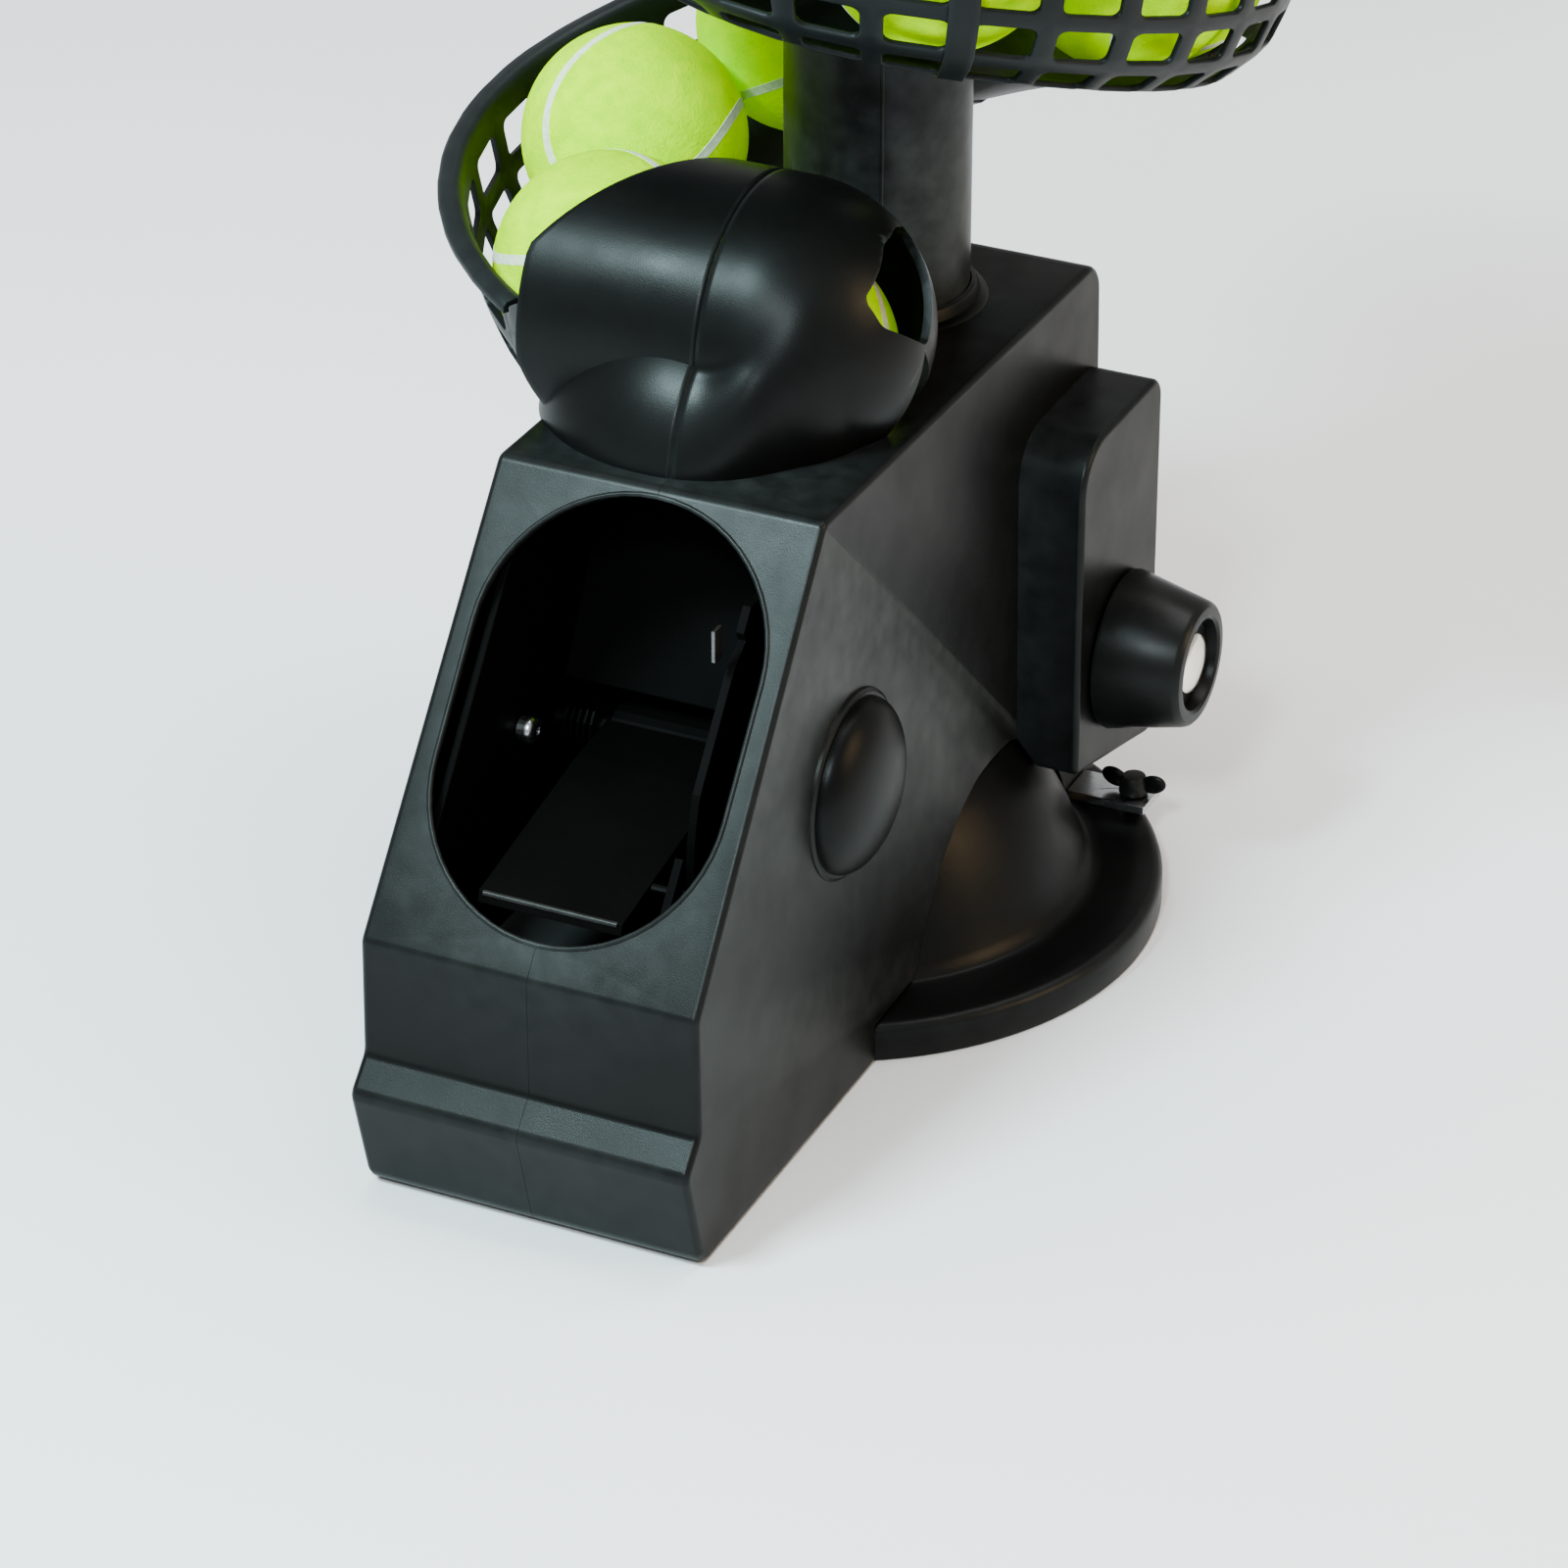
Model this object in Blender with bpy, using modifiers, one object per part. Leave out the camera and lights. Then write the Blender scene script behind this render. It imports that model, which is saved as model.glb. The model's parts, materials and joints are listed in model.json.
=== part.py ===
"""Spring-arm tennis-ball tosser with a spiral ball ramp on a column.

Frame: metres, +Z up, origin at the centre of the round base on the floor, the outlet faces -Y and the
side box with its knob is on +X.
"""
import math

import bmesh
import bpy
from mathutils import Matrix, Vector

# ---------------------------------------------------------------- driving dimensions (metres)
GAP = 0.0003                  # between pieces that touch
WALL = 0.0026                 # moulded wall
BALL_R = 0.033

# housing, side outline as (y, z)
NOSE_Y = -0.1975
BUMPER_Y, BUMPER_Z = -0.2070, 0.0341
WAIST_Y, WAIST_Z = -0.1985, 0.0430
CREASE_Z = 0.0786
TOP_FRONT_Y, TOP_FRONT_Z = -0.1145, 0.1874
REAR_Y, REAR_TOP_Z = 0.0780, 0.1830
HALF_WIDTH_LOW = 0.0515
HALF_WIDTH_TOP = 0.0489
REAR_CORNER_R = 0.011
EDGE_R = 0.003

# hood and the lobe under it
HOOD_Y, HOOD_Z, HOOD_R = -0.0520, 0.2100, 0.0415
HOOD_END_X = 0.008
HOOD_MOUTH_X = -0.0535
MOUTH_POINT = (-0.0310, -0.0580, 0.2500)
MOUTH_NORMAL = (-0.80, 0.57, 0.19)
LOBE_CENTRE = (-0.0050, -0.0680, 0.1780)
LOBE_R = 0.0470
BULGE_R, BULGE_FLAT, BULGE_SINK = 0.0265, 0.50, 0.0020
HOOD_WINDOW = ((0.020, -0.090, 0.2215), (0.060, -0.0415, 0.2325))
DOOR_LOW, DOOR_HIGH = (-0.0305, -0.1805), (0.0305, -0.1145)
SWITCH_HALF = (0.0066, 0.0100)
JACK_R = 0.0060
WIRE_Y, WIRE_Z, WIRE_R = 0.0450, 0.1200, 0.0050

# outlet: a stadium in the sloped face, measured along the face from its lower crease
OUTLET_R = 0.0428
OUTLET_LOW = 0.0105
OUTLET_HIGH = 0.1345

# base
FLANGE_R, FLANGE_Z = 0.0975, 0.0117
PLATE_R, PLATE_T = 0.0900, 0.0030
BELL = [(0.0760, 0.0122), (0.0738, 0.0160), (0.0710, 0.0235), (0.0668, 0.0320), (0.0628, 0.0400),
        (0.0573, 0.0475), (0.0510, 0.0550), (0.0420, 0.0605), (0.0300, 0.0635)]
BELL_TOP = 0.0640
BELL_WALL = 0.0030
POST_R = 0.0060

# column and spiral ramp
COLUMN_Y, COLUMN_R = 0.0274, 0.0268
COLUMN_LOW, COLUMN_TOP = 0.1765, 0.4900
TRACK_R = 0.080               # radius of the ball centres' path
TRACK_START_Z = 0.1936        # ball-centre height extrapolated to the front, angle 0
SLOPE_OUT, SLOPE_MID, SLOPE_UP = 0.000222, 0.000525, 0.000335   # metres per degree
CELL = 12.0                   # one window and one rib, degrees
RIB = 3.2
SEGMENT_CELLS = 12
RAMP_START, FIRST_CELL = 31.0, 37.0
BRACKET_ANGLES = (155.0, 397.0, 541.0, 685.0)
RAMP_T = 0.0024
# inner surface of the trough as (radius from the column, height over the ball centre)
TROUGH = [(0.1248, 0.0133), (0.1180, 0.0133), (0.1162, 0.0050), (0.1140, -0.0059), (0.1124, -0.0108),
          (0.1083, -0.0206), (0.1046, -0.0250), (0.0972, -0.0315), (0.0880, -0.0340), (0.0680, -0.0340),
          (0.0520, -0.0280), (0.0440, -0.0140)]
WINDOW_STRIPS = (2, 4, 6)

# throwing mechanism, pivots as (y, z)
ARM_PIVOT = (-0.1000, 0.1000)
ARM_PIN_R = 0.0660
PADDLE_HALF = 0.0215
PADDLE_TIP = (-0.1835, 0.0938)
PADDLE_REAR = (-0.1247, 0.1046)
PADDLE_T = 0.0030
CHAMBER_LEFT_X, CHAMBER_RIGHT_X, CHAMBER_T = -0.0415, 0.0300, 0.0025
GEAR_CENTRE = (-0.0400, 0.1120)
GEAR_MODULE = 0.0020
GEAR_TEETH, PINION_TEETH = 33, 11
GEAR_X0, GEAR_X1 = 0.0368, 0.0428
TAIL_X0, TAIL_X1 = 0.0331, 0.0354
DECK_LOW, DECK_TOP = 0.0665, 0.0695

# side box and knob
BOX_X = 0.0699
BOX_FRONT, BOX_REAR, BOX_TOP = 0.0169, 0.0765, 0.1510
BOX_LOW_FRONT, BOX_LOW_REAR = 0.0460, 0.0310
BOX_WALL = 0.0024
KNOB_Y, KNOB_Z = 0.0474, 0.0740
KNOB_R0, KNOB_R1, KNOB_X1 = 0.0240, 0.0187, 0.0961

# swivel lock
LOCK_X, LOCK_Y = 0.0705, 0.0620

# rear wall
SWITCH_X, SWITCH_Z = -0.0200, 0.1200
JACK_X, JACK_Z = -0.0200, 0.0900


# ---------------------------------------------------------------- scene and helpers
for old in list(bpy.data.objects):
    bpy.data.objects.remove(old, do_unlink=True)

PARTS = bpy.data.collections.new("ball_tosser")
CUTTERS = bpy.data.collections.new("cutters")
bpy.context.scene.collection.children.link(PARTS)
bpy.context.scene.collection.children.link(CUTTERS)


def material(name, colour, roughness, metallic=0.0):
    mat = bpy.data.materials.new(name)
    mat.use_nodes = True
    shader = mat.node_tree.nodes["Principled BSDF"]
    shader.inputs["Base Color"].default_value = (*colour, 1.0)
    shader.inputs["Roughness"].default_value = roughness
    shader.inputs["Metallic"].default_value = metallic
    return mat


HOUSING = material("housing_black", (0.022, 0.025, 0.026), 0.42)
RAMP_BLACK = material("ramp_black", (0.028, 0.031, 0.033), 0.50)
KNOB_BLACK = material("knob_black", (0.020, 0.021, 0.022), 0.40)
INNER_BLACK = material("inner_black", (0.018, 0.019, 0.019), 0.55)
RUBBER = material("rubber", (0.030, 0.030, 0.030), 0.85)
STEEL = material("steel", (0.55, 0.56, 0.57), 0.30, 1.0)
FELT = material("felt", (0.62, 0.85, 0.05), 0.95)
BOARD = material("board", (0.02, 0.16, 0.07), 0.50)
GEAR_NYLON = material("gear_nylon", (0.80, 0.79, 0.74), 0.50)


def new_object(name, bm, mat, origin=(0, 0, 0), cutter=False, smooth=False):
    """Put a bmesh built in world space into an object whose origin is at the given point."""
    bmesh.ops.translate(bm, verts=bm.verts, vec=-Vector(origin))
    bmesh.ops.recalc_face_normals(bm, faces=bm.faces)
    mesh = bpy.data.meshes.new(name)
    bm.to_mesh(mesh)
    bm.free()
    return mesh_object(name, mesh, mat, origin, cutter, smooth)


def mesh_object(name, mesh, mat, origin=(0, 0, 0), cutter=False, smooth=False):
    obj = bpy.data.objects.new(name, mesh)
    obj.location = origin
    if cutter:
        CUTTERS.objects.link(obj)
        obj.hide_render = True
        obj.display_type = "WIRE"
    else:
        PARTS.objects.link(obj)
        mesh.materials.clear()
        mesh.materials.append(mat)
    if smooth:
        mesh.shade_smooth()
        mesh.set_sharp_from_angle(angle=math.radians(35))
    bpy.context.view_layer.update()
    return obj


def evaluated(obj):
    graph = bpy.context.evaluated_depsgraph_get()
    return bpy.data.meshes.new_from_object(obj.evaluated_get(graph))


def boolean(obj, other, operation):
    mod = obj.modifiers.new(operation.lower(), "BOOLEAN")
    mod.operation = operation
    mod.solver = "EXACT"
    mod.object = other


def cut(obj, *cutters):
    for other in cutters:
        boolean(obj, other, "DIFFERENCE")


def join(obj, *others):
    for other in others:
        boolean(obj, other, "UNION")


def box(name, low, high, mat=None, origin=(0, 0, 0), turn=None, cutter=False):
    """A block between two corners; turn is a matrix applied about the block's centre."""
    bm = bmesh.new()
    low, high = Vector(low), Vector(high)
    size = high - low
    bmesh.ops.create_cube(bm, size=1.0, matrix=Matrix.Diagonal((*size, 1.0)))
    if turn is not None:
        bmesh.ops.transform(bm, verts=bm.verts, matrix=turn)
    bmesh.ops.translate(bm, verts=bm.verts, vec=(low + high) / 2)
    return new_object(name, bm, mat, origin, cutter)


def rod(name, start, end, radius, mat=None, sides=20, end_radius=None, origin=(0, 0, 0), cutter=False):
    """A cylinder or cone from start to end."""
    start, end = Vector(start), Vector(end)
    bm = bmesh.new()
    far = radius if end_radius is None else end_radius
    bmesh.ops.create_cone(bm, cap_ends=True, segments=sides, radius1=radius, radius2=far,
                          depth=(end - start).length)
    aim = (end - start).to_track_quat("Z", "Y").to_matrix().to_4x4()
    bmesh.ops.transform(bm, verts=bm.verts, matrix=Matrix.Translation((start + end) / 2) @ aim)
    return new_object(name, bm, mat, origin, cutter, smooth=True)


def ball(name, centre, radius, mat=None, detail=2, cutter=False):
    bm = bmesh.new()
    bmesh.ops.create_icosphere(bm, subdivisions=detail, radius=radius)
    bmesh.ops.translate(bm, verts=bm.verts, vec=Vector(centre))
    return new_object(name, bm, mat, centre, cutter, smooth=True)


def globe(name, centre, radius, sides=24, flat=1.0):
    """A cutter sphere with its poles on the X axis, flattened along that axis."""
    bm = bmesh.new()
    bmesh.ops.create_uvsphere(bm, u_segments=sides, v_segments=sides // 2, radius=radius)
    bmesh.ops.rotate(bm, verts=bm.verts, matrix=Matrix.Rotation(math.pi / 2, 3, "Y"))
    bmesh.ops.scale(bm, verts=bm.verts, vec=(flat, 1, 1))
    bmesh.ops.translate(bm, verts=bm.verts, vec=Vector(centre))
    return new_object(name, bm, None, cutter=True)


def prism(name, outline, x0, x1, mat=None, origin=(0, 0, 0), cutter=False):
    """A (y, z) outline carried along X from x0 to x1."""
    bm = bmesh.new()
    face = bm.faces.new([bm.verts.new((x0, y, z)) for y, z in outline])
    grown = bmesh.ops.extrude_face_region(bm, geom=[face])["geom"]
    moved = [v for v in grown if isinstance(v, bmesh.types.BMVert)]
    bmesh.ops.translate(bm, verts=moved, vec=(x1 - x0, 0, 0))
    return new_object(name, bm, mat, origin, cutter)


def turned(name, profile, mat, centre=(0, 0, 0), axis="Z", sides=32, closed=True):
    """A profile of (radius, height) points, outer side first and downwards, turned about an axis."""
    bm = bmesh.new()
    verts = [bm.verts.new((r, 0, h)) for r, h in profile]
    for a, b in zip(verts, verts[1:]):
        bm.edges.new((a, b))
    if closed:
        bm.edges.new((verts[-1], verts[0]))
    mesh = bpy.data.meshes.new(name)
    bm.to_mesh(mesh)
    bm.free()
    obj = mesh_object(name, mesh, mat, centre)
    screw = obj.modifiers.new("turn", "SCREW")
    screw.steps = sides
    screw.render_steps = sides
    screw.use_merge_vertices = True
    screw.merge_threshold = 0.0001
    screw.use_smooth_shade = True
    if axis == "X":
        obj.rotation_euler = (0, math.pi / 2, 0)
    bpy.context.view_layer.update()
    return obj


def inset(outline, distance):
    """Move each side of an outline, given counter-clockwise, inwards by a distance."""
    count = len(outline)
    lines = []
    for i in range(count):
        a, b = Vector(outline[i]), Vector(outline[(i + 1) % count])
        along = (b - a).normalized()
        inward = Vector((-along.y, along.x))
        lines.append((a + inward * distance, along))
    result = []
    for i in range(count):
        (p, d), (q, e) = lines[i - 1], lines[i]
        t = ((q - p).x * e.y - (q - p).y * e.x) / (d.x * e.y - d.y * e.x)
        result.append(tuple(p + d * t))
    return result


def arc(centre, radius, start, stop, steps):
    """Points on an arc, angles in degrees from +y towards +z."""
    return [(centre[0] + radius * math.cos(math.radians(start + (stop - start) * i / steps)),
             centre[1] + radius * math.sin(math.radians(start + (stop - start) * i / steps)))
            for i in range(steps + 1)]


# ---------------------------------------------------------------- housing
SIDE_OUTLINE = [(NOSE_Y, 0.0), (REAR_Y, 0.0), (REAR_Y, REAR_TOP_Z), (TOP_FRONT_Y, TOP_FRONT_Z),
                (WAIST_Y, CREASE_Z), (WAIST_Y, WAIST_Z), (BUMPER_Y, BUMPER_Z)]
FACE_DIR = Vector((0, TOP_FRONT_Y - WAIST_Y, TOP_FRONT_Z - CREASE_Z)).normalized()
FACE_NORMAL = Vector((0, -FACE_DIR.z, FACE_DIR.y))


def half_width(z):
    return HALF_WIDTH_LOW + (HALF_WIDTH_TOP - HALF_WIDTH_LOW) * z / TOP_FRONT_Z


def face_point(x, along, proud=0.0):
    """A point on the sloped face, a distance up it from its lower crease."""
    foot = Vector((x, WAIST_Y, CREASE_Z))
    return foot + FACE_DIR * along + FACE_NORMAL * proud


def housing_block(name, outline, side_inset, edge_r, corner_r):
    """The tapered block, its rear corners and its edges rounded."""
    bm = bmesh.new()
    face = bm.faces.new([bm.verts.new((-1.0, y, z)) for y, z in outline])
    grown = bmesh.ops.extrude_face_region(bm, geom=[face])["geom"]
    far = {v for v in grown if isinstance(v, bmesh.types.BMVert)}
    for v in bm.verts:
        width = half_width(v.co.z) - side_inset
        v.co.x = width if v in far else -width
    rear = [e for e in bm.edges if min(v.co.y for v in e.verts) > REAR_Y - 2 * WALL
            and abs(e.verts[0].co.z - e.verts[1].co.z) > 0.1]
    bmesh.ops.bevel(bm, geom=rear, offset=corner_r, segments=3, profile=0.5, affect="EDGES")
    obj = new_object(name, bm, None, cutter=True)
    if edge_r > 0:
        mod = obj.modifiers.new("edges", "BEVEL")
        mod.width = edge_r
        mod.segments = 2
        mod.limit_method = "ANGLE"
        mod.angle_limit = math.radians(32)
    return obj


def hood_solid(name, shrink, sides):
    """Half-cylinder hood with a domed right end, standing on the housing's top: the hull of its rims."""
    radius, foot = HOOD_R - shrink, 0.1720 + shrink
    bm = bmesh.new()
    for i in range(sides):
        a = 2 * math.pi * i / sides
        y, rise = HOOD_Y + radius * math.cos(a), radius * math.sin(a)
        bm.verts.new((HOOD_MOUTH_X - shrink, y, HOOD_Z + rise if rise > 0 else foot))
        for k in range(sides // 4):
            swing = 0.5 * math.pi * k / (sides // 4)
            x = HOOD_END_X + rise * math.sin(swing) if rise > 0 else HOOD_END_X - rise
            bm.verts.new((x, y, HOOD_Z + rise * math.cos(swing) if rise > 0 else foot))
        if rise >= -1e-9:
            bm.verts.new((HOOD_END_X + abs(rise), y, HOOD_Z))
    hull = bmesh.ops.convex_hull(bm, input=bm.verts)
    loose = {v for v in hull["geom_interior"] + hull["geom_unused"] if isinstance(v, bmesh.types.BMVert)}
    bmesh.ops.delete(bm, geom=list(loose), context="VERTS")
    bmesh.ops.remove_doubles(bm, verts=bm.verts, dist=0.00001)
    return new_object(name, bm, None, cutter=True)


def outlet_cutter():
    """Stadium bar standing square to the sloped face."""
    bm = bmesh.new()
    low, high = OUTLET_LOW + OUTLET_R, OUTLET_HIGH - OUTLET_R
    ring = []
    for i in range(15):
        a = math.pi + math.pi * i / 14
        ring.append((OUTLET_R * math.cos(a), low + OUTLET_R * math.sin(a)))
    for i in range(15):
        a = math.pi * i / 14
        ring.append((OUTLET_R * math.cos(a), high + OUTLET_R * math.sin(a)))
    face = bm.faces.new([bm.verts.new(face_point(x, s, -0.008)) for x, s in ring])
    grown = bmesh.ops.extrude_face_region(bm, geom=[face])["geom"]
    moved = [v for v in grown if isinstance(v, bmesh.types.BMVert)]
    bmesh.ops.translate(bm, verts=moved, vec=FACE_NORMAL * 0.028)
    return new_object("outlet_cutter", bm, None, cutter=True)


def mouth_cutter():
    """Half-space beyond the hood's slanted mouth, above the housing's top."""
    normal = Vector(MOUTH_NORMAL).normalized()
    turn = normal.to_track_quat("Z", "Y").to_matrix().to_4x4()
    bm = bmesh.new()
    bmesh.ops.create_cube(bm, size=0.2)
    centre = Vector(MOUTH_POINT) + normal * 0.1
    bmesh.ops.transform(bm, verts=bm.verts, matrix=Matrix.Translation(centre) @ turn)
    return new_object("mouth_cutter", bm, None, cutter=True)


def base_clearance():
    """Room for the flange and the bell, so that the housing can turn on them."""
    clear = 0.0010
    profile = [(r + clear, z + clear) for r, z in reversed(BELL)]
    profile = [(0.0, BELL_TOP + clear), (0.0300, BELL_TOP + clear)] + profile
    profile += [(FLANGE_R + clear, FLANGE_Z + clear), (FLANGE_R + clear, -0.005), (0.0, -0.005)]
    solid = turned("base_clearance", profile, None, sides=48, closed=False)
    mesh = evaluated(solid)
    bpy.data.objects.remove(solid, do_unlink=True)
    return mesh_object("base_room", mesh, None, cutter=True)


def housing_holes():
    through = 0.010
    rear = (REAR_Y - through, REAR_Y + through)
    width, height = SWITCH_HALF
    side = half_width(WIRE_Z)
    return (
        rod("column_hole", (0, COLUMN_Y, REAR_TOP_Z - through), (0, COLUMN_Y, REAR_TOP_Z + through),
            COLUMN_R + GAP, sides=32, cutter=True),
        box("hood_window", *HOOD_WINDOW, cutter=True),
        box("door_hole", (*DOOR_LOW, -through), (*DOOR_HIGH, through), cutter=True),
        box("switch_hole", (SWITCH_X - width, rear[0], SWITCH_Z - height),
            (SWITCH_X + width, rear[1], SWITCH_Z + height), cutter=True),
        rod("jack_hole", (JACK_X, rear[0], JACK_Z), (JACK_X, rear[1], JACK_Z), JACK_R + GAP, cutter=True),
        rod("wire_hole", (side - through, WIRE_Y, WIRE_Z), (side + through, WIRE_Y, WIRE_Z), WIRE_R,
            cutter=True),
    )


def housing():
    blank = housing_block("blank", SIDE_OUTLINE, 0.0, EDGE_R, REAR_CORNER_R)
    blank = mesh_object("housing_blank", evaluated(blank), None, cutter=True)
    hood = hood_solid("hood", 0.0, 32)
    cut(hood, mouth_cutter())
    lobe = globe("lobe", LOBE_CENTRE, LOBE_R, 32)
    bulge_x = half_width(ARM_PIVOT[1]) - BULGE_SINK
    bulge = globe("bulge", (bulge_x, *ARM_PIVOT), BULGE_R, 24, BULGE_FLAT)
    join(blank, hood, lobe, bulge)

    inner = housing_block("inner", inset(SIDE_OUTLINE, WALL), WALL, 0.0, REAR_CORNER_R - WALL)
    inner_hood = hood_solid("inner_hood", WALL, 32)
    inner_lobe = globe("inner_lobe", LOBE_CENTRE, LOBE_R - WALL, 32)
    inner_bulge = globe("inner_bulge", (bulge_x - WALL, *ARM_PIVOT), BULGE_R - WALL, 20, BULGE_FLAT)
    join(inner, inner_hood, inner_lobe, inner_bulge)

    cut(blank, inner, outlet_cutter(), base_clearance(), ramp_clearance(), *housing_holes())
    whole = evaluated(blank)
    for name, side in (("left_shell", -1), ("right_shell", 1)):
        shell = mesh_object(name, whole.copy(), HOUSING)
        near, far = GAP / 2, 0.12
        half = box(name + "_half", (min(side * near, side * far), -0.3, -0.1),
                   (max(side * near, side * far), 0.2, 0.4), cutter=True)
        boolean(shell, half, "INTERSECT")
        shell.data.shade_smooth()
        shell.data.set_sharp_from_angle(angle=math.radians(30))


# ---------------------------------------------------------------- spiral ramp
def blend(t):
    t = min(max(t, 0.0), 1.0)
    return t * t * (3 - 2 * t)


def track_slope(angle):
    rise = blend((angle - 100.0) / 40.0)
    ease = blend((angle - 290.0) / 50.0)
    slope = SLOPE_OUT + (SLOPE_MID - SLOPE_OUT) * rise
    return slope + (SLOPE_UP - SLOPE_MID) * ease


def track_height(angle):
    """Height of the ball centre at an angle from the front, clockwise seen from above."""
    steps = 200
    total = sum(track_slope(angle * (i + 0.5) / steps) for i in range(steps))
    return TRACK_START_Z + total * angle / steps


def around(radius, angle, z):
    a = math.radians(angle)
    return Vector((-radius * math.sin(a), COLUMN_Y - radius * math.cos(a), z))


def swept(bm, profile, angles, keep):
    """Carry a profile round the column; keep(step, strip) says which faces are made."""
    rows = []
    for angle in angles:
        z = track_height(angle)
        rows.append([bm.verts.new(around(r, angle, z + h)) for r, h in profile])
    for i in range(len(rows) - 1):
        for j in range(len(profile) - 1):
            if keep(i, j):
                bm.faces.new((rows[i][j], rows[i][j + 1], rows[i + 1][j + 1], rows[i + 1][j]))
    return rows


def ramp_segment(index, start, stop):
    """One piece of the trough, pierced by three rows of windows between ribs."""
    first = FIRST_CELL if index == 0 else start
    seam = math.degrees(GAP / 2 / TROUGH[-1][0])
    angles = [start + seam]
    for cell in range(round((stop - first) / CELL)):
        angles += [first + cell * CELL + RIB / 2, first + (cell + 1) * CELL - RIB / 2]
    angles.append(stop - seam)
    bm = bmesh.new()
    swept(bm, TROUGH, angles, lambda step, strip: step % 2 == 0 or strip not in WINDOW_STRIPS)
    mesh = bpy.data.meshes.new("ramp")
    bm.to_mesh(mesh)
    bm.free()
    obj = mesh_object("ramp_segment_%d" % (index + 1), mesh, RAMP_BLACK)
    mod = obj.modifiers.new("wall", "SOLIDIFY")
    mod.thickness = RAMP_T
    mod.offset = -1.0
    mod.use_even_offset = False
    return obj


def ramp_clearance():
    """Room cut in the housing for the lowest part of the trough, open upwards."""
    clear, above = RAMP_T + 0.0012, 0.0500
    rim_r, inner_r = TROUGH[0][0] + 0.0015, TROUGH[-1][0] - clear
    outline = [(inner_r, above), (rim_r, above), (rim_r, TROUGH[2][1])]
    for r, h in TROUGH[2:]:
        out = Vector((r - TRACK_R, h)).normalized() * clear
        outline.append((r + out.x, h + out.y))
    outline.append(outline[0])
    bm = bmesh.new()
    rows = swept(bm, outline, [28.0 + 8.0 * i for i in range(11)], lambda step, strip: True)
    bmesh.ops.remove_doubles(bm, verts=bm.verts, dist=0.00001)
    for row in (rows[0], rows[-1]):
        bm.faces.new([v for v in row if v.is_valid])
    return new_object("ramp_room", bm, None, cutter=True)


def ramp():
    start = RAMP_START
    stop = FIRST_CELL + SEGMENT_CELLS * CELL
    for index in range(5):
        cells = SEGMENT_CELLS if index < 4 else SEGMENT_CELLS - 2
        if index:
            start, stop = stop, stop + cells * CELL
        ramp_segment(index, start, stop)
    for index, angle in enumerate(BRACKET_ANGLES):
        ramp_bracket(index, angle)


def ramp_bracket(index, angle):
    """Saddle on the trough's side of the column with an arm under the trough's floor."""
    z = track_height(angle) - 0.0400
    name = "ramp_bracket_%d" % (index + 1)
    saddle = rod(name, (0, COLUMN_Y, z - 0.0070), (0, COLUMN_Y, z), 0.0300, RAMP_BLACK, sides=28)
    centre = around(0.058, angle, z - 0.002)
    turn = Matrix.Rotation(-math.radians(angle), 4, "Z")
    arm = box(name + "_arm", (centre.x - 0.007, centre.y - 0.030, z - 0.0045),
              (centre.x + 0.007, centre.y + 0.030, z), turn=turn, cutter=True)
    bore = rod(name + "_bore", (0, COLUMN_Y, z - 0.02), (0, COLUMN_Y, z + 0.01), COLUMN_R + GAP,
               sides=28, cutter=True)
    back = around(-0.015, angle, z)
    far = box(name + "_far", (back.x - 0.040, back.y - 0.030, z - 0.02),
              (back.x + 0.040, back.y + 0.030, z + 0.01), turn=turn, cutter=True)
    join(saddle, arm)
    cut(saddle, bore, far)


def column():
    inner = COLUMN_R - 0.0023
    centre = (0, COLUMN_Y, 0)
    turned("column_tube", [(COLUMN_R, COLUMN_TOP), (COLUMN_R, COLUMN_LOW), (inner, COLUMN_LOW),
                           (inner, COLUMN_TOP)], HOUSING, centre, sides=32)
    top = COLUMN_TOP + GAP
    turned("column_cap", [(0.0, top + 0.006), (0.016, top + 0.0052), (0.0235, top + 0.0030),
                          (COLUMN_R, top), (0.0, top)], HOUSING, centre, sides=28, closed=False)
    low = 0.1855
    turned("column_collar", [(COLUMN_R + GAP + 0.0012, low + 0.0040), (0.0292, low + 0.0016),
                             (0.0312, low), (COLUMN_R + GAP, low), (COLUMN_R + GAP, low + 0.0040)],
           HOUSING, centre, sides=32)


def ball_place(angle):
    """A ball touches the sloping floor beside its lowest point, so it sits a little higher."""
    inner_r = 0.058
    tilt = math.degrees(track_slope(angle)) / inner_r
    lift = max(0.0, BALL_R * (math.hypot(1.0, tilt) - 1.0) - 0.0005)
    return around(TRACK_R, angle, track_height(angle) + lift)


def queue():
    """Balls lying one behind the other, from the hood up the ramp."""
    ball("ball_01", (0.0060, -0.0510, 0.2000), BALL_R, FELT)
    angle = 46.0
    for index in range(2, 14):
        place = ball_place(angle)
        ball("ball_%02d" % index, place, BALL_R, FELT)
        step = 40.0
        while (ball_place(angle + step) - place).length < 2 * BALL_R + 0.0004:
            step += 0.05
        angle += step


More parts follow.
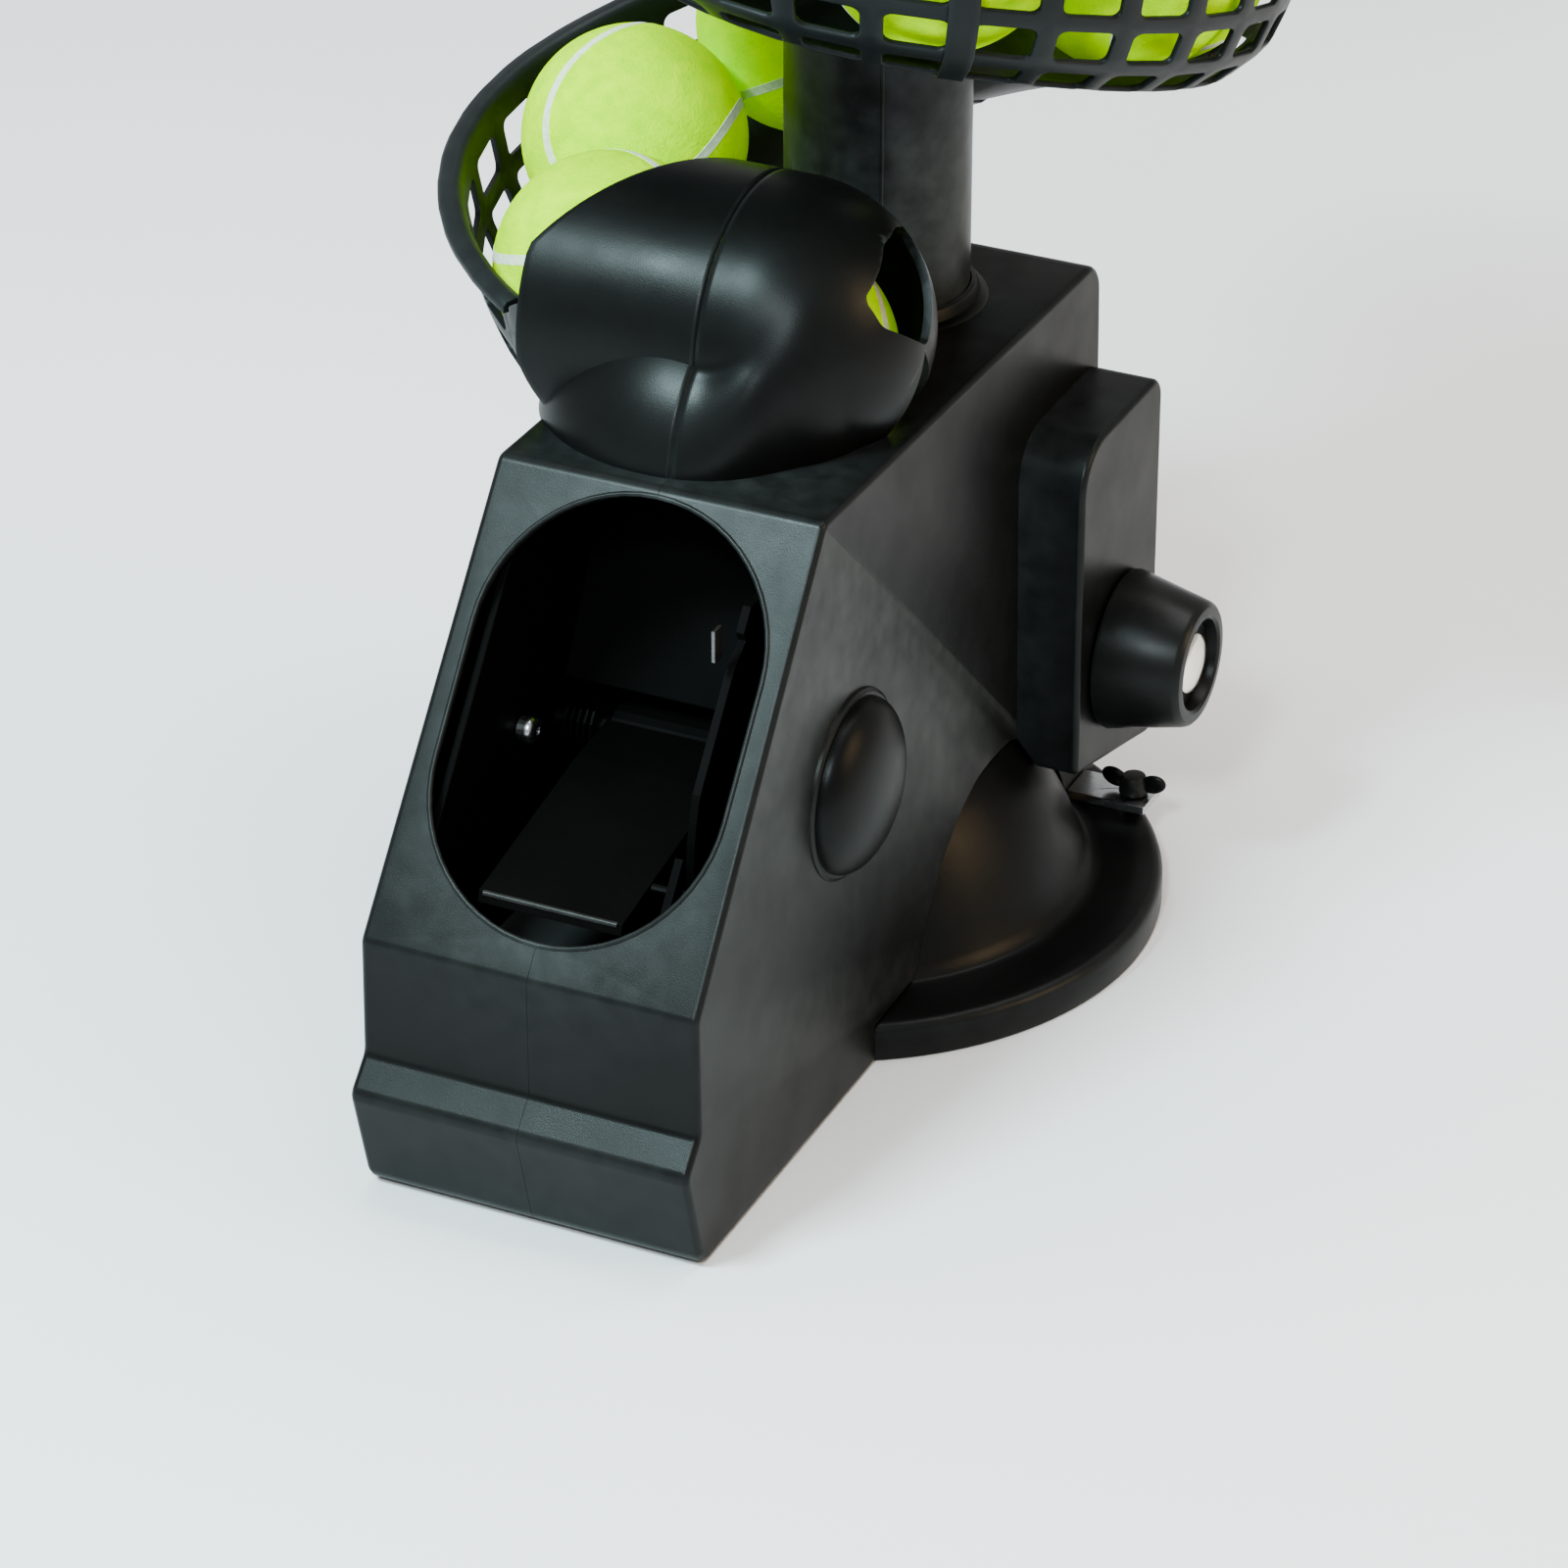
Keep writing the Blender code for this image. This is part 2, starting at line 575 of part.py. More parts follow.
# ---------------------------------------------------------------- base
def base():
    outer = [(0.0063, BELL_TOP), (0.0300, BELL_TOP)] + list(reversed(BELL))
    outer += [(0.0800, FLANGE_Z), (FLANGE_R - 0.0011, FLANGE_Z), (FLANGE_R, FLANGE_Z - 0.0016),
              (FLANGE_R, 0.0)]
    inner = [(PLATE_R + GAP, 0.0), (PLATE_R + GAP, PLATE_T + GAP), (0.0800, PLATE_T + GAP)]
    inner += [(r - BELL_WALL, z - BELL_WALL) for r, z in BELL[1::2]]
    inner += [(0.0063, BELL_TOP - BELL_WALL)]
    turned("base_stand", outer + inner, HOUSING, sides=40)
    rod("base_plate", (0, 0, 0), (0, 0, PLATE_T), PLATE_R, RUBBER, sides=48)
    rod("swivel_post", (0, 0, PLATE_T + GAP), (0, 0, 0.0800), POST_R, STEEL, sides=20)
    turned("swivel_nut", [(0.0110, 0.0758), (0.0110, DECK_TOP + 0.0005), (POST_R + GAP, DECK_TOP + 0.0005),
                          (POST_R + GAP, 0.0758)], STEEL, sides=6 * 4)


# ---------------------------------------------------------------- inside
def chassis():
    deck = box("chassis_plate", (-0.0470, -0.0940, DECK_LOW), (0.0470, 0.0700, DECK_TOP), INNER_BLACK)
    cut(deck, rod("deck_hole", (0, 0, 0.05), (0, 0, 0.09), POST_R + 0.0007, sides=24, cutter=True))
    wall = [(-0.1880, 0.0710), (-0.0200, 0.0710), (-0.0200, 0.1560), (-0.0640, 0.1560),
            (-0.0720, 0.1640), (-0.1262, 0.1640), (-0.1900, 0.0815)]
    shaft_hole = rod("shaft_hole", (-0.06, *ARM_PIVOT), (0.06, *ARM_PIVOT), 0.0043, cutter=True)
    left = prism("chamber_left_wall", wall, CHAMBER_LEFT_X, CHAMBER_LEFT_X + CHAMBER_T, INNER_BLACK)
    right = prism("chamber_right_wall", wall, CHAMBER_RIGHT_X, CHAMBER_RIGHT_X + CHAMBER_T, INNER_BLACK)
    slot = arc(ARM_PIVOT, ARM_PIN_R + 0.0035, 190, 118, 12)
    slot += arc(ARM_PIVOT, ARM_PIN_R - 0.0035, 118, 190, 12)
    cut(left, shaft_hole)
    cut(right, shaft_hole, prism("slot_cutter", slot, CHAMBER_RIGHT_X - 0.01, CHAMBER_RIGHT_X + 0.01,
                                 cutter=True))
    chute = [(-0.0370, 0.1655), (-0.0720, 0.1600), (-0.0980, 0.1120)]
    under = [(-0.0955, 0.1108), (-0.0702, 0.1576), (-0.0370, 0.1629)]
    prism("feed_chute", chute + under, CHAMBER_LEFT_X + CHAMBER_T + GAP, CHAMBER_RIGHT_X - GAP, INNER_BLACK)
    face = CHAMBER_LEFT_X + CHAMBER_T + GAP
    rod("chamber_screw", (face, -0.1240, 0.1090), (face + 0.0028, -0.1240, 0.1090), 0.0036, STEEL, sides=16)
    face = CHAMBER_RIGHT_X - GAP
    box("arm_stop", (face - 0.0010, -0.1430, 0.1545), (face, -0.1385, 0.1640), STEEL)


def throw_arm():
    pivot = (0, *ARM_PIVOT)
    tip, rear = Vector(PADDLE_TIP), Vector(PADDLE_REAR)
    along = (rear - tip).normalized()
    down = Vector((along.y, -along.x)) * PADDLE_T
    heel = Vector((ARM_PIVOT[0] - 0.002, ARM_PIVOT[1] + 0.0065))
    outline = [tuple(p) for p in (tip, rear, heel, heel + down * 2.6, rear + down, tip + down,
                                  tip + down - along * 0.0018)]
    arm = prism("throw_arm", outline, -PADDLE_HALF, PADDLE_HALF, INNER_BLACK, pivot)
    hub = rod("arm_hub", (-PADDLE_HALF + 0.001, *ARM_PIVOT), (PADDLE_HALF - 0.001, *ARM_PIVOT), 0.0085,
              sides=20, cutter=True)
    join(arm, hub)
    cut(arm, rod("arm_bore", (-0.03, *ARM_PIVOT), (0.03, *ARM_PIVOT), 0.0043, cutter=True))
    rod("arm_shaft", (-0.0440, *ARM_PIVOT), (0.0520, *ARM_PIVOT), 0.0040, STEEL, sides=16)
    pin = (ARM_PIVOT[0] - 0.0659, ARM_PIVOT[1] - 0.0044)
    rod("arm_pin", (PADDLE_HALF + GAP, *pin), (TAIL_X1 - GAP, *pin), 0.0014, STEEL, sides=10, origin=pivot)
    tail = arc(ARM_PIVOT, 0.0090, 70, 340, 9)
    end = (ARM_PIVOT[0] + 0.0250, ARM_PIVOT[1] + 0.0120)
    tail += arc(end, 0.0042, -65, 115, 4)
    lever = prism("arm_tail", tail, TAIL_X0, TAIL_X1, STEEL, pivot)
    cut(lever, rod("tail_bore", (0.03, *ARM_PIVOT), (0.036, *ARM_PIVOT), 0.0043, cutter=True))
    coil()


def coil():
    """Torsion spring round the arm's shaft: a wire section carried round a helix."""
    turns, per_turn, radius, wire_r = 5, 12, 0.0072, 0.0008
    x0, x1 = -0.0345, -0.0245
    bm = bmesh.new()
    turn = Matrix.Rotation(math.pi / 2, 4, "Y")
    place = Matrix.Translation((x0, ARM_PIVOT[0], ARM_PIVOT[1] + radius))
    bmesh.ops.create_circle(bm, cap_ends=True, segments=6, radius=wire_r, matrix=place @ turn
                            @ Matrix.Rotation(math.pi / 2, 4, "X"))
    steps = turns * per_turn
    bmesh.ops.spin(bm, geom=bm.verts[:] + bm.edges[:] + bm.faces[:], cent=(0, *ARM_PIVOT), axis=(1, 0, 0),
                   dvec=((x1 - x0) / steps, 0, 0), angle=2 * math.pi * turns, steps=steps)
    new_object("arm_spring", bm, STEEL, smooth=True)


def gear_outline(teeth, phase):
    """Straight-flanked teeth with running clearance."""
    pitch_r = GEAR_MODULE * teeth / 2
    root, tip = pitch_r - 0.0024, pitch_r + 0.0016
    step = 2 * math.pi / teeth
    points = []
    for k in range(teeth):
        mid = phase + k * step
        for share, radius in ((-0.31, root), (-0.125, tip), (0.125, tip), (0.31, root)):
            points.append((radius * math.cos(mid + share * step), radius * math.sin(mid + share * step)))
    return points


def drive():
    gy, gz = GEAR_CENTRE
    my, mz = gy + GEAR_MODULE * (GEAR_TEETH + PINION_TEETH) / 2, gz
    rim = [(gy + y, gz + z) for y, z in gear_outline(GEAR_TEETH, 0.0)]
    gear = prism("cam_gear", rim, GEAR_X0, GEAR_X1, GEAR_NYLON, (0, gy, gz))
    join(gear, rod("cam_pin", (GEAR_X0 - 0.0008, gy - 0.020, gz), (GEAR_X0 + 0.001, gy - 0.020, gz), 0.0040,
                   sides=12, cutter=True))
    cut(gear, rod("gear_bore", (0.03, gy, gz), (0.05, gy, gz), 0.0043, sides=16, cutter=True))
    rod("cam_stud", (CHAMBER_RIGHT_X + CHAMBER_T + GAP, gy, gz), (0.0450, gy, gz), 0.0040, STEEL, sides=16)
    teeth = [(my + y, mz + z) for y, z in gear_outline(PINION_TEETH, 0.0)]
    pinion = prism("motor_pinion", teeth, GEAR_X0, GEAR_X1, GEAR_NYLON, (0, my, mz))
    join(pinion, rod("pinion_shaft", (0.0198, my, mz), (GEAR_X0 + 0.001, my, mz), 0.0020, sides=12,
                     cutter=True))
    rod("motor", (-0.0320, my, mz), (0.0190, my, mz), 0.0150, STEEL, sides=24)
    bracket = box("motor_bracket", (0.0195, my - 0.0180, DECK_TOP + GAP), (0.0215, my + 0.0180, 0.1320),
                  STEEL)
    cut(bracket, rod("bracket_hole", (0.01, my, mz), (0.03, my, mz), 0.0050, sides=16, cutter=True))


def side_box():
    """Five-sided cover with a large radius at the top front, hollow behind."""
    top_r = 0.012
    outline = [(BOX_FRONT, BOX_LOW_FRONT), (BOX_REAR, BOX_LOW_REAR)]
    outline += arc((BOX_REAR - 0.006, BOX_TOP - 0.006), 0.006, 0, 90, 3)
    outline += arc((BOX_FRONT + top_r, BOX_TOP - top_r), top_r, 90, 180, 5)
    cover = prism("side_box_cover", outline, 0.0, 1.0, HOUSING)
    hollow = prism("box_hollow", inset(outline, BOX_WALL), 0.0, BOX_X - BOX_WALL, cutter=True)
    for v in cover.data.vertices:
        v.co.x = BOX_X if v.co.x > 0.5 else half_width(v.co.z) + GAP
    hole = rod("knob_hole", (0.06, KNOB_Y, KNOB_Z), (0.08, KNOB_Y, KNOB_Z), 0.0036, sides=16, cutter=True)
    cut(cover, hollow, base_clearance(), hole)
    mod = cover.modifiers.new("edges", "BEVEL")
    mod.width = 0.0010
    mod.segments = 1
    mod.limit_method = "ANGLE"
    mod.angle_limit = math.radians(60)
    base_x = BOX_X + GAP
    profile = [(0.0, KNOB_X1 - 0.0040), (0.0130, KNOB_X1 - 0.0040), (0.0140, KNOB_X1),
               (KNOB_R1 - 0.0010, KNOB_X1), (KNOB_R1, KNOB_X1 - 0.0012), (KNOB_R0 - 0.0003, base_x + 0.0016),
               (KNOB_R0 - 0.0012, base_x), (0.0030, base_x), (0.0030, 0.0644), (0.0, 0.0644)]
    turned("control_knob", profile, KNOB_BLACK, (0, KNOB_Y, KNOB_Z), "X", 28, closed=False)
    disc = KNOB_X1 - 0.0040 + GAP
    rod("knob_disc", (disc, KNOB_Y, KNOB_Z), (disc + 0.0022, KNOB_Y, KNOB_Z), 0.0092, STEEL, sides=24,
        end_radius=0.0084, origin=(0, KNOB_Y, KNOB_Z))
    rod("potentiometer", (0.0540, KNOB_Y, KNOB_Z), (0.0640, KNOB_Y, KNOB_Z), 0.0085, STEEL, sides=20)
    box("circuit_board", (0.0560, 0.0240, 0.0880), (0.0576, 0.0700, 0.1400), BOARD)


def swivel_lock():
    x0 = half_width(0.015) + GAP
    lug = box("lock_lug", (x0, LOCK_Y - 0.007, 0.0142), (LOCK_X + 0.006, LOCK_Y + 0.007, 0.0168), STEEL)
    cut(lug, rod("lug_hole", (LOCK_X, LOCK_Y, 0.01), (LOCK_X, LOCK_Y, 0.02), 0.0031, sides=16, cutter=True))
    origin = (LOCK_X, LOCK_Y, 0.0171)
    bolt = rod("wing_bolt", (LOCK_X, LOCK_Y, 0.0122), (LOCK_X, LOCK_Y, 0.0205), 0.0027, KNOB_BLACK,
               sides=12, origin=origin)
    hub = rod("bolt_hub", (LOCK_X, LOCK_Y, 0.0173), (LOCK_X, LOCK_Y, 0.0232), 0.0044, sides=12, cutter=True)
    wings = box("bolt_wings", (LOCK_X - 0.0105, LOCK_Y - 0.0012, 0.0185),
                (LOCK_X + 0.0105, LOCK_Y + 0.0012, 0.0240), cutter=True)
    join(bolt, hub, wings)


def rear_fittings():
    """Rocker switch and power inlet in the rear wall."""
    y = REAR_Y + GAP
    bezel = box("switch_bezel", (SWITCH_X - 0.0080, y, SWITCH_Z - 0.0115),
                (SWITCH_X + 0.0080, y + 0.0015, SWITCH_Z + 0.0115), KNOB_BLACK)
    cut(bezel, box("bezel_hole", (SWITCH_X - 0.0056, y - 0.01, SWITCH_Z - 0.0090),
                   (SWITCH_X + 0.0056, y + 0.01, SWITCH_Z + 0.0090), cutter=True))
    rocker = [(y - 0.0060, SWITCH_Z - 0.0050), (y + 0.0010, SWITCH_Z - 0.0078),
              (y + 0.0030, SWITCH_Z - 0.0072), (y + 0.0020, SWITCH_Z), (y + 0.0010, SWITCH_Z + 0.0072),
              (y - 0.0010, SWITCH_Z + 0.0076), (y - 0.0060, SWITCH_Z + 0.0050)]
    prism("rocker_switch", rocker, SWITCH_X - 0.0051, SWITCH_X + 0.0051, KNOB_BLACK,
          (SWITCH_X, y - 0.0030, SWITCH_Z))
    jack = rod("dc_jack", (JACK_X, 0.0660, JACK_Z), (JACK_X, REAR_Y + 0.0012, JACK_Z), 0.0060, KNOB_BLACK,
               sides=20)
    cut(jack, rod("jack_bore", (JACK_X, 0.0700, JACK_Z), (JACK_X, 0.09, JACK_Z), 0.0030, sides=16,
                  cutter=True))


def power():
    box("battery_pack", (-0.0340, -0.1860, 0.0045), (0.0340, -0.1080, 0.0600), RUBBER)
    box("battery_door", (-0.0301, -0.1801, 0.0003), (0.0301, -0.1149, 0.0026), HOUSING)


housing()
ramp()
column()
queue()
base()
chassis()
throw_arm()
drive()
side_box()
swivel_lock()
rear_fittings()
power()
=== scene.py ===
"""Looks of the ball tosser: fine moulded shells, slotted ramp, felt balls and their materials."""

import json
import math

import bmesh
import bpy
from mathutils import Matrix, Vector


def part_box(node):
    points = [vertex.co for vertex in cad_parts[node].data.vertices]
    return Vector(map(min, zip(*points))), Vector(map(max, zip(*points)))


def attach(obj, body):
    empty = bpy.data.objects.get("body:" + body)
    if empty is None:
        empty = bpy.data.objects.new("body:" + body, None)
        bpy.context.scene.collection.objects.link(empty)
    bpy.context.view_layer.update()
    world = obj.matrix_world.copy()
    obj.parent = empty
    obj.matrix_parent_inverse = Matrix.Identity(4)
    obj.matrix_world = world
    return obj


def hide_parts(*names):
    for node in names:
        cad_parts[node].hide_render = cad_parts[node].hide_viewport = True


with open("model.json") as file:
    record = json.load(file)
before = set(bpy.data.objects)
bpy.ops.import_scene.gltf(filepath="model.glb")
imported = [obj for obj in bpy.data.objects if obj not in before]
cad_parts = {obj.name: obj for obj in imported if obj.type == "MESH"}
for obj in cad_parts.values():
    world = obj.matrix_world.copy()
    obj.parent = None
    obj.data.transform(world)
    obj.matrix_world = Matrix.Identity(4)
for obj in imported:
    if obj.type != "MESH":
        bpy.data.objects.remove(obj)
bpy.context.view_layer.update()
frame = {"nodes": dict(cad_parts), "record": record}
SCENE = bpy.context.scene

# ---- driving dimensions (metres)
WALL = 0.0026
NOSE_Y = -0.1975
BUMPER_Y, BUMPER_Z = -0.2070, 0.0341
WAIST_Y, WAIST_Z, CREASE_Z = -0.1985, 0.0430, 0.0786
TOP_FRONT_Y, TOP_FRONT_Z = -0.1145, 0.1874
REAR_Y, REAR_TOP_Z = 0.0780, 0.1830
HALF_WIDTH_LOW, HALF_WIDTH_TOP = 0.0515, 0.0489
EDGE_R = 0.0030
SEAM = 0.00002                # half the gap between the two shells
SEAM_ROUND = 0.0006
GROOVE_HALF, GROOVE_DEPTH = 0.0008, 0.0007    # the parting line's groove over the hood and lobe
MERGE = 0.000005              # points nearer than this are one point

HOOD_Y, HOOD_Z, HOOD_R = -0.0520, 0.2100, 0.0418
HOOD_END_X, HOOD_MOUTH_X = 0.008, -0.0535
HOOD_WALL, LOBE_WALL = 0.0024, 0.0020
MOUTH_POINT, MOUTH_NORMAL = Vector((-0.0310, -0.0580, 0.2500)), Vector((-0.80, 0.57, 0.19)).normalized()
LOBE_CENTRE, LOBE_AXES = Vector((-0.0073, -0.0620, 0.1800)), Vector((0.0508, 0.0480, 0.0460))
LOBE_RIGHT = 0.0465           # the lobe's half axis on the right, where it is fuller

OUTLET_R, OUTLET_LOW, OUTLET_HIGH = 0.0428, 0.0105, 0.1345
ARM_PIVOT = (-0.1000, 0.1000)
BULGE_R, BULGE_STEP, BULGE_RISE = 0.0265, 0.0012, 0.0108
SWITCH_LOW, SWITCH_HIGH = (-0.0266, 0.06, 0.110), (-0.0134, 0.09, 0.130)
JACK_X, JACK_Z, JACK_R = -0.02, 0.09, 0.0063
DOOR_LOW, DOOR_HIGH = (-0.0305, -0.1805, -0.01), (0.0305, -0.1145, 0.01)

FLANGE_R, FLANGE_Z = 0.0975, 0.0117
BELL_WALL = 0.0030
BELL = [(0.0800, 0.0117), (0.0772, 0.0119), (0.0760, 0.0126), (0.0738, 0.0160), (0.0710, 0.0235),
        (0.0668, 0.0320), (0.0628, 0.0400), (0.0573, 0.0475), (0.0510, 0.0550), (0.0420, 0.0605),
        (0.0300, 0.0635), (0.0063, 0.0640)]

COLUMN_Y, COLUMN_R, COLUMN_LOW, COLUMN_TOP = 0.0274, 0.0268, 0.1765, 0.4900
COLUMN_WALL, COLUMN_SEAMS, COLLAR_Z = 0.0023, (26.5, 206.5), 0.1832
BALL_R = 0.033
TRACK_R, TRACK_START_Z = 0.080, 0.1936
SLOPE_OUT, SLOPE_MID, SLOPE_UP = 0.000222, 0.000525, 0.000335
CELL, RIB = 12.0, 3.2
SEGMENT_CELLS, RAMP_START, FIRST_CELL = 12, 31.0, 37.0
BRACKET_ANGLES = (155.0, 397.0, 541.0, 685.0)
SADDLE_R, SADDLE_HEIGHT, SADDLE_DROP, SADDLE_HALF_ARC = 0.0300, 0.0070, 0.0400, 56.0
ARM_LENGTH = 0.0580           # the saddle's arm, centred as far out from the column's axis
RAMP_T = 0.0018
BAND_HALF_ARC, BAND_PROUD = 2.1, 0.0009
# inner surface of the trough as (radius from the column, height over the ball centre), rim first
TROUGH = [(0.1248, 0.0100), (0.1248, 0.0118), (0.1237, 0.0131), (0.1206, 0.0136), (0.1186, 0.0130),
          (0.1177, 0.0115), (0.1162, 0.0050), (0.1140, -0.0059), (0.1124, -0.0108), (0.1083, -0.0206),
          (0.1046, -0.0250), (0.0972, -0.0315), (0.0880, -0.0340), (0.0760, -0.0344), (0.0680, -0.0340),
          (0.0600, -0.0312), (0.0520, -0.0275), (0.0440, -0.0140)]
WINDOW_ROWS = (6, 8, 10)      # each window lies between this profile point and the next
WINDOW_CORNER, WINDOW_DIP = 1.35, 0.22        # its corners' reach in degrees and in profile points

BOX_X, BOX_FRONT, BOX_REAR, BOX_TOP = 0.0699, 0.0169, 0.0765, 0.1510
BOX_LOW_FRONT, BOX_LOW_REAR = 0.0460, 0.0310
KNOB_Y, KNOB_Z, KNOB_R0, KNOB_R1, KNOB_X1 = 0.0474, 0.0740, 0.0240, 0.0187, 0.0961
WING_X, WING_Y, WING_TILT = 0.0705, 0.0620, 18.0
LIP_Z, LIP_R = 0.0931, 0.0009
SCREW_PLACE, SCREW_R = (-0.0358, -0.1240, 0.1090), 0.0040


# ---- camera
def camera():
    cam = bpy.data.objects.new("camera", bpy.data.cameras.new("camera"))
    SCENE.collection.objects.link(cam)
    cam.data.sensor_width = 36.0
    cam.data.lens = 140.2
    cam.location = (0.6440, -1.4214, 0.9392)
    target = Vector((0.0, -0.0356, 0.0540))
    cam.rotation_mode = "QUATERNION"
    cam.rotation_quaternion = (target - cam.location).to_track_quat("-Z", "Y")
    cam.data.clip_start, cam.data.clip_end = 0.05, 20.0
    SCENE.camera = cam


# ---- materials
class Nodes:
    """Small helper that builds a Principled material out of procedural textures."""

    def __init__(self, name):
        self.mat = bpy.data.materials.new(name)
        self.mat.use_nodes = True
        self.tree = self.mat.node_tree
        self.shader = self.tree.nodes["Principled BSDF"]
        self.coord = self.tree.nodes.new("ShaderNodeTexCoord").outputs["Object"]

    def link(self, a, b):
        self.tree.links.new(a, b)

    def noise(self, scale, detail=3.0, rough=0.5, stretch=None):
        node = self.tree.nodes.new("ShaderNodeTexNoise")
        node.inputs["Scale"].default_value = scale
        node.inputs["Detail"].default_value = detail
        node.inputs["Roughness"].default_value = rough
        if stretch is None:
            self.link(self.coord, node.inputs["Vector"])
        else:
            mapping = self.tree.nodes.new("ShaderNodeMapping")
            mapping.inputs["Scale"].default_value = stretch
            self.link(self.coord, mapping.inputs["Vector"])
            self.link(mapping.outputs["Vector"], node.inputs["Vector"])
        return node.outputs["Fac"]

    def ramp(self, value, stops):
        """stops is a list of (position, colour or grey)."""
        node = self.tree.nodes.new("ShaderNodeValToRGB")
        self.link(value, node.inputs["Fac"])
        for i, (place, colour) in enumerate(stops):
            if i < 2:
                stop = node.color_ramp.elements[i]
                stop.position = place
            else:
                stop = node.color_ramp.elements.new(place)
            grey = not isinstance(colour, (tuple, list))
            stop.color = (colour, colour, colour, 1.0) if grey else (*colour, 1.0)
        return node.outputs["Color"]

    def mix(self, factor, a, b):
        node = self.tree.nodes.new("ShaderNodeMix")
        node.data_type = "RGBA"
        self.link(factor, node.inputs[0])
        for socket, value in ((node.inputs[6], a), (node.inputs[7], b)):
            if isinstance(value, tuple):
                socket.default_value = (*value, 1.0)
            else:
                self.link(value, socket)
        return node.outputs[2]

    def bump(self, height, distance, strength=1.0, normal=None):
        node = self.tree.nodes.new("ShaderNodeBump")
        node.inputs["Distance"].default_value = distance
        node.inputs["Strength"].default_value = strength
        self.link(height, node.inputs["Height"])
        if normal is not None:
            self.link(normal, node.inputs["Normal"])
        return node.outputs["Normal"]

    def edges(self):
        """White along convex edges, where the plastic is rubbed and where an edge highlight is painted."""
        node = self.tree.nodes.new("ShaderNodeNewGeometry")
        return self.ramp(node.outputs["Pointiness"], [(0.52, 0.0), (0.60, 1.0)])


def moulded(name, dark, light, worn, rough, grain=0.00006, edge_wear_and_highlight=True, specular=0.5):
    """Moulded plastic: fine grain, faint flow marks, slight polish changes, convex edges lightened where
    rubbed and by a painted highlight.
    """
    n = Nodes(name)
    cloud = n.noise(22.0, 4.0, 0.6)
    colour = n.ramp(cloud, [(0.30, dark), (0.72, light)])
    # Convex edges turn towards the worn colour: partly rubbed plastic, partly a painted edge highlight.
    if edge_wear_and_highlight:
        wear_and_highlight_breakup = n.mix(n.noise(140.0, 2.0), (0.0, 0.0, 0.0), (1.0, 1.0, 1.0))
        edge_wear_and_highlight_mask = n.tree.nodes.new("ShaderNodeMath")
        edge_wear_and_highlight_mask.operation = "MULTIPLY"
        n.link(n.edges(), edge_wear_and_highlight_mask.inputs[0])
        n.link(wear_and_highlight_breakup, edge_wear_and_highlight_mask.inputs[1])
        colour = n.mix(edge_wear_and_highlight_mask.outputs[0], colour, worn)
    n.link(colour, n.shader.inputs["Base Color"])
    polish = n.ramp(n.noise(55.0, 3.0), [(0.25, rough - 0.05), (0.75, rough + 0.06)])
    n.link(polish, n.shader.inputs["Roughness"])
    waves = n.bump(n.noise(70.0, 1.0), 0.00012, 0.35)
    n.link(n.bump(n.noise(3200.0, 2.0, 0.6), grain, 0.55, waves), n.shader.inputs["Normal"])
    n.shader.inputs["Specular IOR Level"].default_value = specular
    return n.mat


def metal(name, dark, light, rough):
    """Bare metal with fine drawn lines."""
    n = Nodes(name)
    lines = n.noise(420.0, 3.0, 0.6, (1.0, 12.0, 12.0))
    n.link(n.ramp(lines, [(0.30, dark), (0.70, light)]), n.shader.inputs["Base Color"])
    n.link(n.ramp(n.noise(90.0), [(0.2, rough - 0.07), (0.8, rough + 0.10)]), n.shader.inputs["Roughness"])
    n.link(n.bump(lines, 0.00003, 0.5), n.shader.inputs["Normal"])
    n.shader.inputs["Metallic"].default_value = 1.0
    return n.mat


def felt_material():
    """Woven wool and nylon nap: short tufts over a mottled yellow-green dye, with a faint painted glow that
    brightens it.
    """
    n = Nodes("felt")
    tufts = n.noise(900.0, 5.0, 0.75)
    clumps = n.noise(190.0, 3.0, 0.6)
    dye = n.ramp(clumps, [(0.30, (0.40, 0.78, 0.0)), (0.70, (0.60, 0.98, 0.0))])
    n.link(n.mix(n.ramp(tufts, [(0.42, 0.0), (0.66, 0.25)]), dye, (0.72, 1.0, 0.01)),
           n.shader.inputs["Base Color"])
    n.link(n.ramp(tufts, [(0.3, 0.95), (0.7, 0.80)]), n.shader.inputs["Roughness"])
    lumps = n.bump(clumps, 0.0006, 0.5)
    n.link(n.bump(tufts, 0.0007, 0.9, lumps), n.shader.inputs["Normal"])
    n.shader.inputs["Sheen Weight"].default_value = 0.05
    n.shader.inputs["Sheen Roughness"].default_value = 0.5
    n.shader.inputs["Sheen Tint"].default_value = (0.92, 1.0, 0.55, 1.0)
    n.shader.inputs["Specular IOR Level"].default_value = 0.04
    # Painted light: a faint green glow that makes the felt brighter than the lamps alone would.
    n.shader.inputs["Emission Color"].default_value = (0.40, 0.80, 0.0, 1.0)
    n.shader.inputs["Emission Strength"].default_value = 0.22
    return n.mat


def seam_material():
    """Pale smooth rubber of the balls' seams."""
    n = Nodes("ball_seam")
    n.link(n.ramp(n.noise(600.0, 3.0), [(0.3, (0.62, 0.70, 0.50)), (0.7, (0.80, 0.86, 0.70))]),
           n.shader.inputs["Base Color"])
    n.link(n.ramp(n.noise(300.0), [(0.2, 0.60), (0.8, 0.80)]), n.shader.inputs["Roughness"])
    n.link(n.bump(n.noise(1500.0), 0.0002, 0.5), n.shader.inputs["Normal"])
    return n.mat


def board_material():
    """Green laminate with the weave showing through."""
    n = Nodes("board")
    weave = n.noise(500.0, 2.0, 0.5, (1.0, 6.0, 1.0))
    n.link(n.ramp(weave, [(0.35, (0.010, 0.10, 0.035)), (0.65, (0.025, 0.19, 0.075))]),
           n.shader.inputs["Base Color"])
    n.link(n.ramp(n.noise(80.0), [(0.2, 0.32), (0.8, 0.50)]), n.shader.inputs["Roughness"])
    n.link(n.bump(weave, 0.00005, 0.5), n.shader.inputs["Normal"])
    return n.mat


